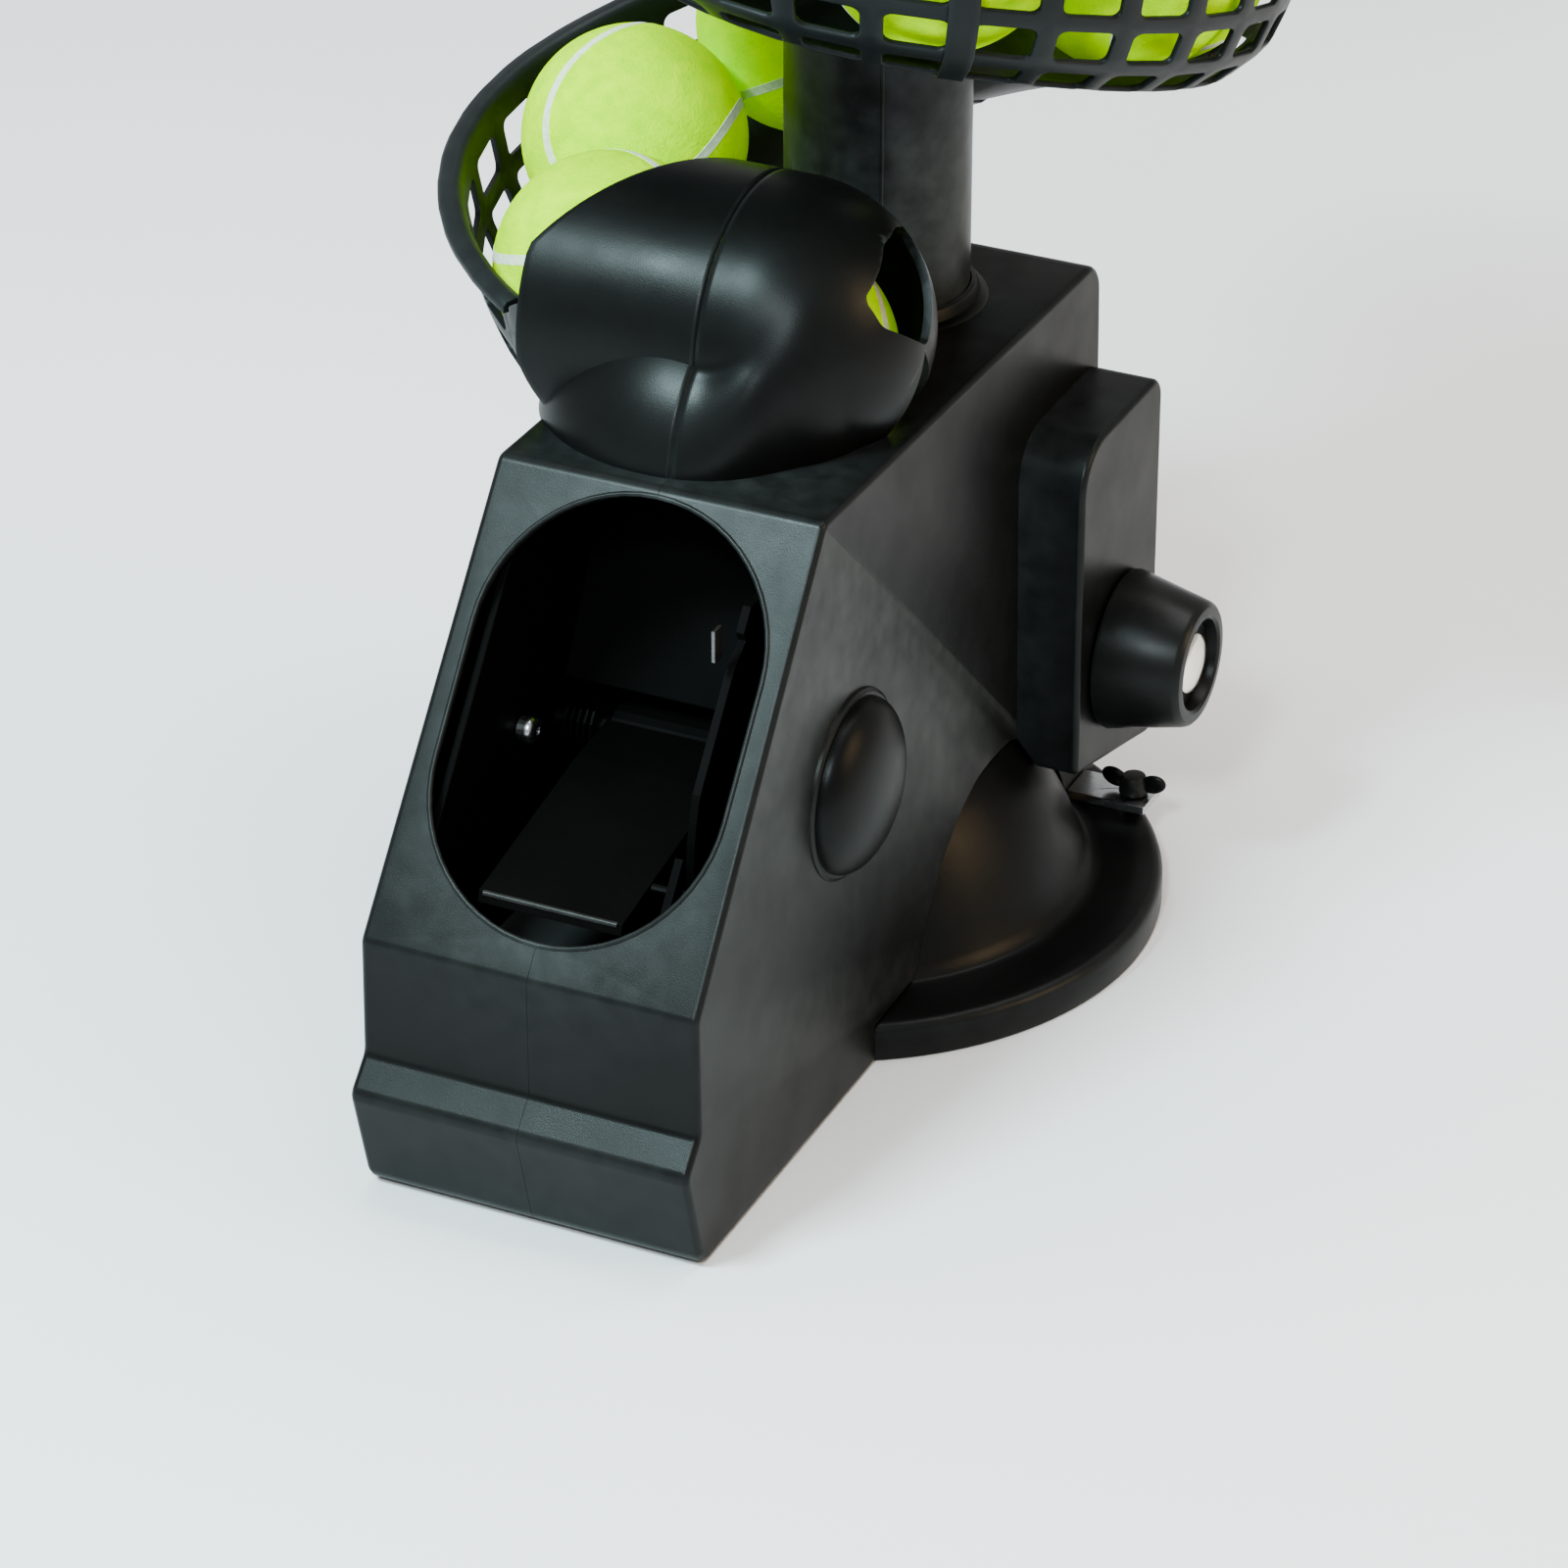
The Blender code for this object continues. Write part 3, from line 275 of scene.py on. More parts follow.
def floor_material():
    """Plain pale studio floor."""
    n = Nodes("floor")
    n.link(n.ramp(n.noise(2.2, 2.0), [(0.3, (0.76, 0.77, 0.79)), (0.7, (0.80, 0.80, 0.81))]),
           n.shader.inputs["Base Color"])
    n.link(n.ramp(n.noise(9.0), [(0.2, 0.55), (0.8, 0.66)]), n.shader.inputs["Roughness"])
    return n.mat


# Each moulded plastic's third colour lights its convex edges: rubbed plastic together with a painted edge
# highlight.
HOUSING = moulded("housing_black", (0.0046, 0.0050, 0.0048), (0.0072, 0.0078, 0.0075), (0.050, 0.055, 0.055),
                  0.34, specular=0.17)
RAMP_BLACK = moulded("ramp_black", (0.0075, 0.0092, 0.0098), (0.0115, 0.0140, 0.0148), (0.040, 0.046, 0.047),
                     0.42, specular=0.20)
KNOB_BLACK = moulded("knob_black", (0.0060, 0.0062, 0.0062), (0.0090, 0.0092, 0.0090), (0.040, 0.040, 0.038),
                     0.32, specular=0.20)
INNER_BLACK = moulded("inner_black", (0.0022, 0.0022, 0.0020), (0.0040, 0.0038, 0.0036), (0.02, 0.02, 0.02),
                      0.62, edge_wear_and_highlight=False, specular=0.06)
RUBBER = moulded("rubber", (0.016, 0.016, 0.016), (0.028, 0.028, 0.027), (0.05, 0.05, 0.05), 0.78,
                 grain=0.00015, edge_wear_and_highlight=False, specular=0.3)
NYLON = moulded("gear_nylon", (0.70, 0.69, 0.63), (0.80, 0.79, 0.74), (0.9, 0.9, 0.9), 0.42, edge_wear_and_highlight=False)
STEEL = metal("steel", (0.46, 0.47, 0.48), (0.66, 0.67, 0.68), 0.28)
DARK_STEEL = metal("dark_steel", (0.008, 0.008, 0.008), (0.018, 0.018, 0.018), 0.55)
DISC_METAL = metal("disc_metal", (0.70, 0.64, 0.54), (0.92, 0.88, 0.80), 0.22)
FELT = felt_material()
SEAM_PALE = seam_material()
BOARD = board_material()
BY_SLOT = {"housing_black": HOUSING, "ramp_black": RAMP_BLACK, "knob_black": KNOB_BLACK,
           "inner_black": INNER_BLACK, "rubber": RUBBER, "gear_nylon": NYLON, "steel": STEEL, "felt": FELT,
           "board": BOARD}


# ---- mesh helpers
def shade(mesh, angle):
    """Smooth shading with edges sharper than the angle kept sharp."""
    mesh.shade_smooth()
    mesh.set_sharp_from_angle(angle=math.radians(angle))


def make_object(name, bm, mat=None, angle=40.0, recalc=True):
    if recalc:
        bmesh.ops.recalc_face_normals(bm, faces=bm.faces)
    mesh = bpy.data.meshes.new(name)
    bm.to_mesh(mesh)
    bm.free()
    obj = bpy.data.objects.new(name, mesh)
    SCENE.collection.objects.link(obj)
    if mat is not None:
        mesh.materials.append(mat)
    shade(mesh, angle)
    return obj


def apply(obj, angle=None):
    """Bake the object's modifiers into its mesh."""
    bpy.context.view_layer.update()
    graph = bpy.context.evaluated_depsgraph_get()
    mesh = bpy.data.meshes.new_from_object(obj.evaluated_get(graph))
    old = obj.data
    obj.modifiers.clear()
    obj.data = mesh
    mesh.name = obj.name
    bpy.data.meshes.remove(old)
    if angle is not None:
        shade(mesh, angle)
    return obj


def piece(obj, body, slot, *nodes):
    """The finished piece rides on a body and stands for the CAD nodes."""
    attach(obj, body)
    if nodes:
        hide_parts(*nodes)
    return obj


def bevel(obj, width, segments=2, angle=40.0):
    mod = obj.modifiers.new("bevel", "BEVEL")
    mod.width = width
    mod.segments = segments
    mod.limit_method = "ANGLE"
    mod.angle_limit = math.radians(angle)
    mod.miter_outer = "MITER_ARC"
    return obj


def even_normals(obj):
    mod = obj.modifiers.new("normals", "WEIGHTED_NORMAL")
    mod.keep_sharp = True
    mod.weight = 80
    return obj


def cut(obj, *tools, operation="DIFFERENCE"):
    """Boolean with each tool in turn, baked, and the tools removed."""
    for tool in tools:
        mod = obj.modifiers.new("boolean", "BOOLEAN")
        mod.operation = operation
        mod.solver = "EXACT"
        mod.object = tool
    apply(obj)
    for tool in tools:
        bpy.data.objects.remove(tool, do_unlink=True)
    return obj


def solidify(obj, thickness):
    """A wall behind the object's skin."""
    mod = obj.modifiers.new("wall", "SOLIDIFY")
    mod.thickness = thickness
    mod.offset = -1.0
    return obj


def blend(t):
    """Smooth step from 0 to 1."""
    t = min(max(t, 0.0), 1.0)
    return t * t * (3 - 2 * t)


def stations(first, last, count):
    return [first + (last - first) * i / count for i in range(count + 1)]


def skin(bm, rows, closed=False):
    """Quads between neighbouring rows of vertices."""
    for low, high in zip(rows, rows[1:]):
        for i in range(len(low) if closed else len(low) - 1):
            j = (i + 1) % len(low)
            bm.faces.new((low[i], low[j], high[j], high[i]))


def face_outwards(bm, topmost=True):
    """Turn an open skin so that its topmost face looks up, or its lowest one down."""
    bmesh.ops.recalc_face_normals(bm, faces=bm.faces)
    pick = max if topmost else min
    probe = pick(bm.faces, key=lambda f: f.calc_center_median().z)
    if (probe.normal.z < 0) == topmost:
        bmesh.ops.reverse_faces(bm, faces=bm.faces)


def rounded(corners, step=11.0):
    """A closed outline from (a, b, radius) corners, each rounded by an arc."""
    points = []
    count = len(corners)
    for i, (a, b, radius) in enumerate(corners):
        p = Vector((a, b))
        back = (Vector(corners[i - 1][:2]) - p).normalized()
        on = (Vector(corners[(i + 1) % count][:2]) - p).normalized()
        if radius <= 0:
            points.append(p)
            continue
        half = back.angle(on) / 2
        centre = p + (back + on).normalized() * (radius / math.sin(half))
        start = p + back * (radius / math.tan(half)) - centre
        end = p + on * (radius / math.tan(half)) - centre
        a0 = math.atan2(start.y, start.x)
        swing = (math.atan2(end.y, end.x) - a0 + math.pi) % (2 * math.pi) - math.pi
        steps = max(2, round(math.degrees(abs(swing)) / step))
        for k in range(steps + 1):
            t = a0 + swing * k / steps
            points.append(centre + Vector((math.cos(t), math.sin(t))) * radius)
    return points


def extruded(name, ring, step, mat=None):
    """A solid with a flat ring of points as its end, carried along a step."""
    bm = bmesh.new()
    face = bm.faces.new([bm.verts.new(p) for p in ring])
    grown = bmesh.ops.extrude_face_region(bm, geom=[face])["geom"]
    far = [v for v in grown if isinstance(v, bmesh.types.BMVert)]
    bmesh.ops.translate(bm, verts=far, vec=step)
    return make_object(name, bm, mat)


def prism(name, outline, x0, x1, mat=None):
    """A (y, z) outline carried along X."""
    return extruded(name, [(x0, y, z) for y, z in outline], (x1 - x0, 0, 0), mat)


def revolve(name, profile, sides, mat=None, centre=(0, 0, 0), axis="Z", loop=False, angle=35.0):
    """A (radius, height) profile turned about an axis through the centre."""
    bm = bmesh.new()
    rings = []
    for radius, height in profile:
        ring = []
        for i in range(sides):
            a = 2 * math.pi * i / sides
            ring.append(bm.verts.new((radius * math.cos(a), radius * math.sin(a), height)))
        rings.append(ring)
    skin(bm, rings + rings[:1] if loop else rings, closed=True)
    bmesh.ops.remove_doubles(bm, verts=bm.verts, dist=0.000002)
    if axis == "X":
        bmesh.ops.rotate(bm, verts=bm.verts, matrix=Matrix.Rotation(math.pi / 2, 3, "Y"))
    bmesh.ops.translate(bm, verts=bm.verts, vec=Vector(centre))
    return make_object(name, bm, mat, angle)


def block(name, low, high):
    bm = bmesh.new()
    low, high = Vector(low), Vector(high)
    bmesh.ops.create_cube(bm, size=1.0, matrix=Matrix.Diagonal((*(high - low), 1.0)))
    bmesh.ops.translate(bm, verts=bm.verts, vec=(low + high) / 2)
    return make_object(name, bm)


def cylinder(name, start, end, radius, sides=48):
    start, end = Vector(start), Vector(end)
    bm = bmesh.new()
    bmesh.ops.create_cone(bm, cap_ends=True, segments=sides, radius1=radius, radius2=radius,
                          depth=(end - start).length)
    aim = (end - start).to_track_quat("Z", "Y").to_matrix().to_4x4()
    bmesh.ops.transform(bm, verts=bm.verts, matrix=Matrix.Translation((start + end) / 2) @ aim)
    return make_object(name, bm)


def tube_along(name, path, radius, mat, sides=3):
    """Round bead along a list of points."""
    data = bpy.data.curves.new(name, "CURVE")
    data.dimensions = "3D"
    line = data.splines.new("POLY")
    line.points.add(len(path) - 1)
    for point, place in zip(line.points, path):
        point.co = (*place, 1.0)
    data.bevel_depth = radius
    data.bevel_resolution = sides
    data.use_fill_caps = True
    data.materials.append(mat)
    obj = bpy.data.objects.new(name, data)
    SCENE.collection.objects.link(obj)
    bpy.context.view_layer.update()
    mesh = bpy.data.meshes.new_from_object(obj.evaluated_get(bpy.context.evaluated_depsgraph_get()))
    bpy.data.objects.remove(obj, do_unlink=True)
    solid = bpy.data.objects.new(name, mesh)
    SCENE.collection.objects.link(solid)
    shade(mesh, 60)
    return solid


# ---- housing block
FACE_DIR = Vector((0, TOP_FRONT_Y - WAIST_Y, TOP_FRONT_Z - CREASE_Z)).normalized()
FACE_NORMAL = Vector((0, -FACE_DIR.z, FACE_DIR.y))


def half_width(z):
    """Half the housing's width at a height."""
    return HALF_WIDTH_LOW + (HALF_WIDTH_TOP - HALF_WIDTH_LOW) * z / TOP_FRONT_Z


def face_point(x, along, proud=0.0):
    """Point on the sloped front face, measured up from the crease."""
    return Vector((x, WAIST_Y, CREASE_Z)) + FACE_DIR * along + FACE_NORMAL * proud


def tapered(name, corners, side_inset):
    """The block between the side walls, which lean in a little towards the top."""
    obj = prism(name, rounded(corners), -1.0, 1.0)
    for v in obj.data.vertices:
        width = half_width(v.co.z) - side_inset
        v.co.x = width if v.co.x > 0 else -width
    return obj


def stadium(radius, low, high, steps=28):
    """Outline of the outlet as (x, distance up the sloped face)."""
    ring = []
    for start, centre in ((math.pi, low), (0.0, high)):
        for i in range(steps + 1):
            a = start + math.pi * i / steps
            ring.append((radius * math.cos(a), centre + radius * math.sin(a)))
    return ring


def outlet_bar():
    """Cutter for the outlet, standing through the sloped face."""
    ring = stadium(OUTLET_R, OUTLET_LOW + OUTLET_R, OUTLET_HIGH - OUTLET_R)
    return extruded("outlet_bar", [face_point(x, s, -0.010) for x, s in ring], FACE_NORMAL * 0.030)


def base_room():
    """Cutter for the hollow over the base's flange and bell."""
    clear = 0.0010
    profile = [(0.0, -0.01), (FLANGE_R + clear, -0.01), (FLANGE_R + clear, FLANGE_Z + clear)]
    profile += [(r + clear, z + clear) for r, z in BELL[2:]]
    profile.append((0.0, BELL[-1][1] + clear))
    return revolve("base_room", profile, 96)


def ramp_room():
    """Room for the lowest stretch of the trough in the housing's top left edge."""
    clear = RAMP_T + 0.0012
    outline = [(TROUGH[-1][0] - clear, 0.05), (TROUGH[0][0] + 0.0015, 0.05), (TROUGH[0][0] + 0.0015, 0.0088)]
    for r, h in TROUGH[6:]:
        out = Vector((r - TRACK_R, h)).normalized() * clear
        outline.append((r + out.x, h + out.y))
    bm = bmesh.new()
    rows = []
    for i in range(21):
        angle = 28.0 + 4.0 * i
        z = track_height(angle)
        rows.append([bm.verts.new(around(r, angle, z + h)) for r, h in outline])
    skin(bm, rows, closed=True)
    bm.faces.new(rows[0])
    bm.faces.new(rows[-1])
    return make_object("ramp_room", bm)


def soften_foot(obj):
    """Draw the front corners in towards the floor, where the moulding is rounder."""
    for v in obj.data.vertices:
        side = abs(v.co.x) / half_width(v.co.z)
        low = max(0.0, 1.0 - v.co.z / 0.012)
        if v.co.y < -0.150:
            v.co.x *= 1.0 - 0.020 * low * low * side


def halves(obj, names, mat):
    """Split a shell at the middle plane and round the two edges of the parting line."""
    made = []
    for name, side in zip(names, (-1, 1)):
        half = obj.copy()
        half.data = obj.data.copy()
        half.name = name
        SCENE.collection.objects.link(half)
        low, high = sorted((side * SEAM, side * 0.15))
        cut(half, block("half_space", (low, -0.3, -0.1), (high, 0.2, 0.4)), operation="INTERSECT")
        bm = bmesh.new()
        bm.from_mesh(half.data)
        lips = [e for e in bm.edges if all(abs(v.co.x - side * SEAM) < 1e-6 for v in e.verts)
                and len(e.link_faces) == 2 and e.calc_face_angle() > math.radians(50)]
        bmesh.ops.bevel(bm, geom=lips, offset=SEAM_ROUND, segments=2, profile=0.5, affect="EDGES",
                        clamp_overlap=True)
        bm.to_mesh(half.data)
        bm.free()
        half.data.materials.clear()
        half.data.materials.append(mat)
        shade(half.data, 38)
        even_normals(half)
        made.append(apply(half))
    bpy.data.objects.remove(obj, do_unlink=True)
    return made


def housing():
    corners = [(NOSE_Y, 0.0, 0.0075), (REAR_Y, 0.0, 0.002), (REAR_Y, REAR_TOP_Z, 0.0095),
               (TOP_FRONT_Y, TOP_FRONT_Z, 0.0040), (WAIST_Y, CREASE_Z, 0.0045), (WAIST_Y, WAIST_Z, 0.0040),
               (BUMPER_Y, BUMPER_Z, 0.0045)]
    outer = tapered("outer", corners, 0.0)
    apply(bevel(outer, EDGE_R, 4, 50.0))
    soften_foot(outer)
    rear = REAR_Y - WALL
    inner_corners = [(NOSE_Y + WALL, WALL, 0.0), (rear, WALL, 0.0), (rear, REAR_TOP_Z - WALL, 0.006),
                     (TOP_FRONT_Y + 0.0014, TOP_FRONT_Z - WALL, 0.0), (WAIST_Y + WALL, CREASE_Z + 0.001, 0.0),
                     (WAIST_Y + WALL, WAIST_Z, 0.0), (BUMPER_Y + WALL, BUMPER_Z, 0.0)]
    inner = tapered("inner", inner_corners, WALL)
    throat = cylinder("throat", (0, HOOD_Y - 0.006, 0.150), (0, HOOD_Y - 0.006, 0.200), 0.0345, 64)
    column_hole = cylinder("column_hole", (0, COLUMN_Y, 0.170), (0, COLUMN_Y, 0.200), COLUMN_R + 0.0003, 96)
    door = block("door_hole", DOOR_LOW, DOOR_HIGH)
    switch = block("switch_hole", SWITCH_LOW, SWITCH_HIGH)
    jack = cylinder("jack_hole", (JACK_X, 0.06, JACK_Z), (JACK_X, 0.09, JACK_Z), JACK_R)
    cut(outer, inner, outlet_bar(), throat, column_hole, base_room(), ramp_room(), door, switch, jack)
    left, right = halves(outer, ("left_shell_body", "right_shell_body"), HOUSING)
    piece(left, "housing", "housing_black", "left_shell")
    piece(right, "housing", "housing_black", "right_shell")
    outlet_lip("outlet_lip_left", -1)
    outlet_lip("outlet_lip_right", 1)
    bulge()


def outlet_lip(name, side):
    """Raised bead round one half of the outlet."""
    outline = stadium(OUTLET_R + 0.0003, OUTLET_LOW + OUTLET_R, OUTLET_HIGH - OUTLET_R)
    ring = [face_point(x, s, -0.0002) for x, s in outline if x * side > -1e-6]
    middle = face_point(0, OUTLET_LOW + (OUTLET_HIGH - OUTLET_LOW) / 2)
    ring.sort(key=lambda p: math.atan2((p - middle).dot(FACE_DIR), abs(p.x)))
    piece(tube_along(name, ring, 0.0008, HOUSING), "housing", "housing_black")


def bulge():
    """Moulded boss over the arm's shaft, standing out of the right wall with a stepped edge."""
    wall = half_width(ARM_PIVOT[1])
    profile = [(BULGE_R + 0.0012, -0.0010), (BULGE_R + 0.0008, 0.0006), (BULGE_R - 0.0002, BULGE_STEP)]
    steps = 18
    for i in range(steps + 1):
        a = 0.5 * math.pi * i / steps
        profile.append(((BULGE_R - BULGE_STEP) * math.cos(a), BULGE_STEP + BULGE_RISE * math.sin(a)))
    boss = revolve("right_boss", profile, 72, HOUSING, (wall, *ARM_PIVOT), "X", angle=30)
    piece(boss, "housing", "housing_black")


# ---- hood and lobe
def hood_section(x):
    """Radius of the hood's arch at x."""
    if x <= HOOD_END_X:
        return HOOD_R
    return math.sqrt(max(HOOD_R ** 2 - (x - HOOD_END_X) ** 2, 0.0))


def rim_x(y, z):
    """Where the slanted mouth cuts the hood."""
    n, m = MOUTH_NORMAL, MOUTH_POINT
    plane = m.x - (n.y * (y - m.y) + n.z * (z - m.z)) / n.x
    neck = HOOD_MOUTH_X + 0.0075 * min(max((0.2060 - z) / 0.020, 0.0), 1.0) ** 1.2
    return max(plane, neck)


def seam_dip(x):
    """Depth of the parting line's groove in the skin at x."""
    return GROOVE_DEPTH * max(0.0, 1.0 - abs(x) / GROOVE_HALF)


def lobe_scale(x):
    """Share of the lobe's full section that is left at x."""
    if x <= 0:
        return math.sqrt(max(0.0, 1.0 - ((x - LOBE_CENTRE.x) / LOBE_AXES.x) ** 2))
    power = 2.0 + 0.6 * blend(x / 0.020)
    return max(0.0, 1.0 - ((x - LOBE_CENTRE.x) / LOBE_RIGHT) ** power) ** (1.0 / power)


def ray_to_ellipse(py, pz, cy, cz, ay, az, dy, dz):
    """Distance from a point to an ellipse's far side along a direction, or 0 if it misses."""
    if ay <= 0.0001:
        return 0.0
    oy, oz, vy, vz = (py - cy) / ay, (pz - cz) / az, dy / ay, dz / az
    a, b, c = vy * vy + vz * vz, oy * vy + oz * vz, oy * oy + oz * oz - 1.0
    root = b * b - a * c
    return max(0.0, (-b + math.sqrt(root)) / a) if root > 0 else 0.0


def blended_section(x, turn):
    """Point of the dome and lobe together at x, in the direction of the turn."""
    inwards = blend((x - 0.020) / 0.028)
    py, pz = -0.0570 + 0.0050 * inwards, 0.1970 + 0.0130 * inwards
    dy, dz = -math.cos(turn), math.sin(turn)
    dome = ray_to_ellipse(py, pz, HOOD_Y, HOOD_Z, hood_section(x), hood_section(x), dy, dz)
    share = lobe_scale(x)
    fuller = blend(x / 0.030)
    cy, cz = LOBE_CENTRE.y + 0.0080 * fuller, LOBE_CENTRE.z + 0.0220 * fuller
    lobe = ray_to_ellipse(py, pz, cy, cz, share * LOBE_AXES.y, share * LOBE_AXES.z, dy, dz)
    soft = 0.0012 + 0.0090 * blend((x - 0.012) / 0.026)
    near = max(soft - abs(dome - lobe), 0.0) / soft
    reach = max(dome, lobe) + near * near * soft / 4
    fade = min(1.0, hood_section(x) / 0.012)
    reach = dome + (reach - dome) * fade - seam_dip(x)
    return Vector((x, py + reach * dy, pz + reach * dz))


def hood_half(side):
    """One half of the hood: a cut-off tube on the left, a dome that runs into the lobe on the right."""
    bm = bmesh.new()
    if side < 0:
        turns = [math.radians(a) for a in stations(-48.0, 228.0, 60)]
        rows = []
        for f in stations(0.0, 1.0, 26):
            row = []
            for a in turns:
                cy, cz = HOOD_Y - HOOD_R * math.cos(a), HOOD_Z + HOOD_R * math.sin(a)
                start = rim_x(cy, cz)
                row.append(Vector((start + (-0.0016 - start) * f, cy, cz)))
            rows.append(row)
        for x in (-GROOVE_HALF, -0.0003, -SEAM):
            radius = HOOD_R - seam_dip(x)
            rows.append([Vector((x, HOOD_Y - radius * math.cos(a), HOOD_Z + radius * math.sin(a)))
                         for a in turns])
    else:
        turns = [math.radians(a) for a in stations(-75.0, 235.0, 150)]
        xs = [SEAM, 0.0003, GROOVE_HALF] + stations(0.0020, HOOD_END_X, 3)
        xs += [HOOD_END_X + HOOD_R * math.sin(math.radians(a)) for a in stations(3.0, 89.7, 40)]
        rows = [[blended_section(x, a) for a in turns] for x in xs]
    skin(bm, [[bm.verts.new(p) for p in row] for row in rows])
    bmesh.ops.remove_doubles(bm, verts=bm.verts, dist=MERGE)
    face_outwards(bm)
    name = "left_hood" if side < 0 else "right_hood"
    obj = make_object(name, bm, HOUSING, 60, recalc=False)
    solidify(obj, HOOD_WALL)
    if side < 0:
        bevel(obj, 0.0006, 2, 60.0)
    return apply(obj)


def hood():
    left = hood_half(-1)
    right = hood_half(1)
    window = rounded([(-0.0695, 0.2315, 0.003), (-0.0680, 0.2235, 0.004), (-0.0510, 0.2115, 0.003),
                      (-0.0390, 0.2225, 0.010), (-0.0270, 0.2340, 0.003), (-0.0400, 0.2395, 0.010),
                      (-0.0520, 0.2400, 0.010)])
    cut(right, prism("window", window, 0.0300, 0.0600))
    right.data.shade_smooth()
    for shell in (left, right, left_lobe()):
        piece(above_deck(shell), "housing", "housing_black")


def above_deck(shell):
    """Trim a moulding where it meets the housing's sloping top."""
    fall = (TOP_FRONT_Z - REAR_TOP_Z) / (REAR_Y - TOP_FRONT_Y)
    bm = bmesh.new()
    bm.from_mesh(shell.data)
    bmesh.ops.bisect_plane(bm, geom=bm.verts[:] + bm.edges[:] + bm.faces[:], dist=0.000001,
                           plane_co=(0, TOP_FRONT_Y, TOP_FRONT_Z - 0.0010), plane_no=(0, -fall, -1.0),
                           clear_outer=True)
    bm.to_mesh(shell.data)
    bm.free()
    shell.data.set_sharp_from_angle(angle=math.radians(55))
    return shell


def left_lobe():
    """The rounded bump under the hood's front, left of the parting line."""
    bm = bmesh.new()
    turns = [math.radians(a) for a in stations(-60.0, 150.0, 60)]
    xs = [-SEAM, -0.0003, -GROOVE_HALF, -0.0016]
    first = math.degrees(math.asin((-0.0030 - LOBE_CENTRE.x) / LOBE_AXES.x))
    xs += [LOBE_CENTRE.x + LOBE_AXES.x * math.sin(math.radians(a)) for a in stations(first, -90.0, 34)]
    rows = []
    for x in xs:
        ay = max(0.0, LOBE_AXES.y * lobe_scale(x) - seam_dip(x))
        az = max(0.0, LOBE_AXES.z * lobe_scale(x) - seam_dip(x))
        rows.append([bm.verts.new((x, LOBE_CENTRE.y - ay * math.cos(a), LOBE_CENTRE.z + az * math.sin(a)))
                     for a in turns])
    skin(bm, rows)
    bmesh.ops.remove_doubles(bm, verts=bm.verts, dist=MERGE)
    face_outwards(bm)
    obj = make_object("left_lobe", bm, HOUSING, 60, recalc=False)
    return apply(solidify(obj, LOBE_WALL))


# ---- spiral ramp
def track_slope(angle):
    """Rise of the ball's track per degree."""
    slope = SLOPE_OUT + (SLOPE_MID - SLOPE_OUT) * blend((angle - 100.0) / 40.0)
    return slope + (SLOPE_UP - SLOPE_MID) * blend((angle - 290.0) / 50.0)


def track_height(angle):
    """Height of the ball centre at an angle from the front, clockwise seen from above."""
    steps = 200
    total = sum(track_slope(angle * (i + 0.5) / steps) for i in range(steps))
    return TRACK_START_Z + total * angle / steps


def around(radius, angle, z):
    """Point at a radius from the column's axis and an angle from the front."""
    a = math.radians(angle)
    return Vector((-radius * math.sin(a), COLUMN_Y - radius * math.cos(a), z))


def profile_at(u):
    """Point of the trough's section at a fractional index."""
    i = min(int(u), len(TROUGH) - 2)
    t = u - i
    (r0, h0), (r1, h1) = TROUGH[i], TROUGH[i + 1]
    return r0 + (r1 - r0) * t, h0 + (h1 - h0) * t


class Trough:
    """Builds one ramp segment's skin, sharing the vertices between cells."""

    def __init__(self):
        self.bm = bmesh.new()
        self.seen = {}
        self.heights = {}

    def vert(self, angle, u):
        key = (round(angle, 4), round(u, 4))
        if key not in self.seen:
            a = key[0]
            if a not in self.heights:
                self.heights[a] = track_height(a)
            r, h = profile_at(u)
            self.seen[key] = self.bm.verts.new(around(r, angle, self.heights[a] + h))
        return self.seen[key]

    def face(self, *places):
        verts = [self.vert(*p) for p in places]
        if len(set(verts)) > 2:
            self.bm.faces.new(verts).normal_update()

    def strip(self, angles, u0, u1):
        for a, b in zip(angles, angles[1:]):
            self.face((a, u0), (a, u1), (b, u1), (b, u0))

    def cell(self, a0, a1, row, corner):
        """A cell with a round-cornered window between profile points row and row + 1."""
        u0, u1 = row - 0.5, row + 1.5
        left, right = a0 + RIB / 2, a1 - RIB / 2
        low, high = row, row + 1
        du = WINDOW_DIP
        inner, outer = [], []
        for cx, cu, start, corner_out in ((left + corner, low + du, 180, (a0, u0)),
                                          (right - corner, low + du, 270, (a1, u0)),
                                          (right - corner, high - du, 0, (a1, u1)),
                                          (left + corner, high - du, 90, (a0, u1))):
            for k in range(5):
                t = math.radians(start + 22.5 * k)
                p = (cx + corner * math.cos(t), cu + du * math.sin(t))
                inner.append(p)
                side_first = start in (180, 0)
                if k == 2:
                    outer.append(corner_out)
                elif (k < 2) == side_first:
                    outer.append((corner_out[0], p[1]))
                else:
                    outer.append((p[0], corner_out[1]))
        count = len(inner)
        for i in range(count):
            j = (i + 1) % count
            self.face(outer[j], outer[i], inner[i], inner[j])


def cell_angles(a0, a1, corner):
    """Angles of one cell's edges and of the points round its window's corners."""
    left, right = a0 + RIB / 2, a1 - RIB / 2
    reach = corner * math.cos(math.radians(67.5))
    return [a0, left + corner - reach, left + corner, right - corner, right - corner + reach, a1]


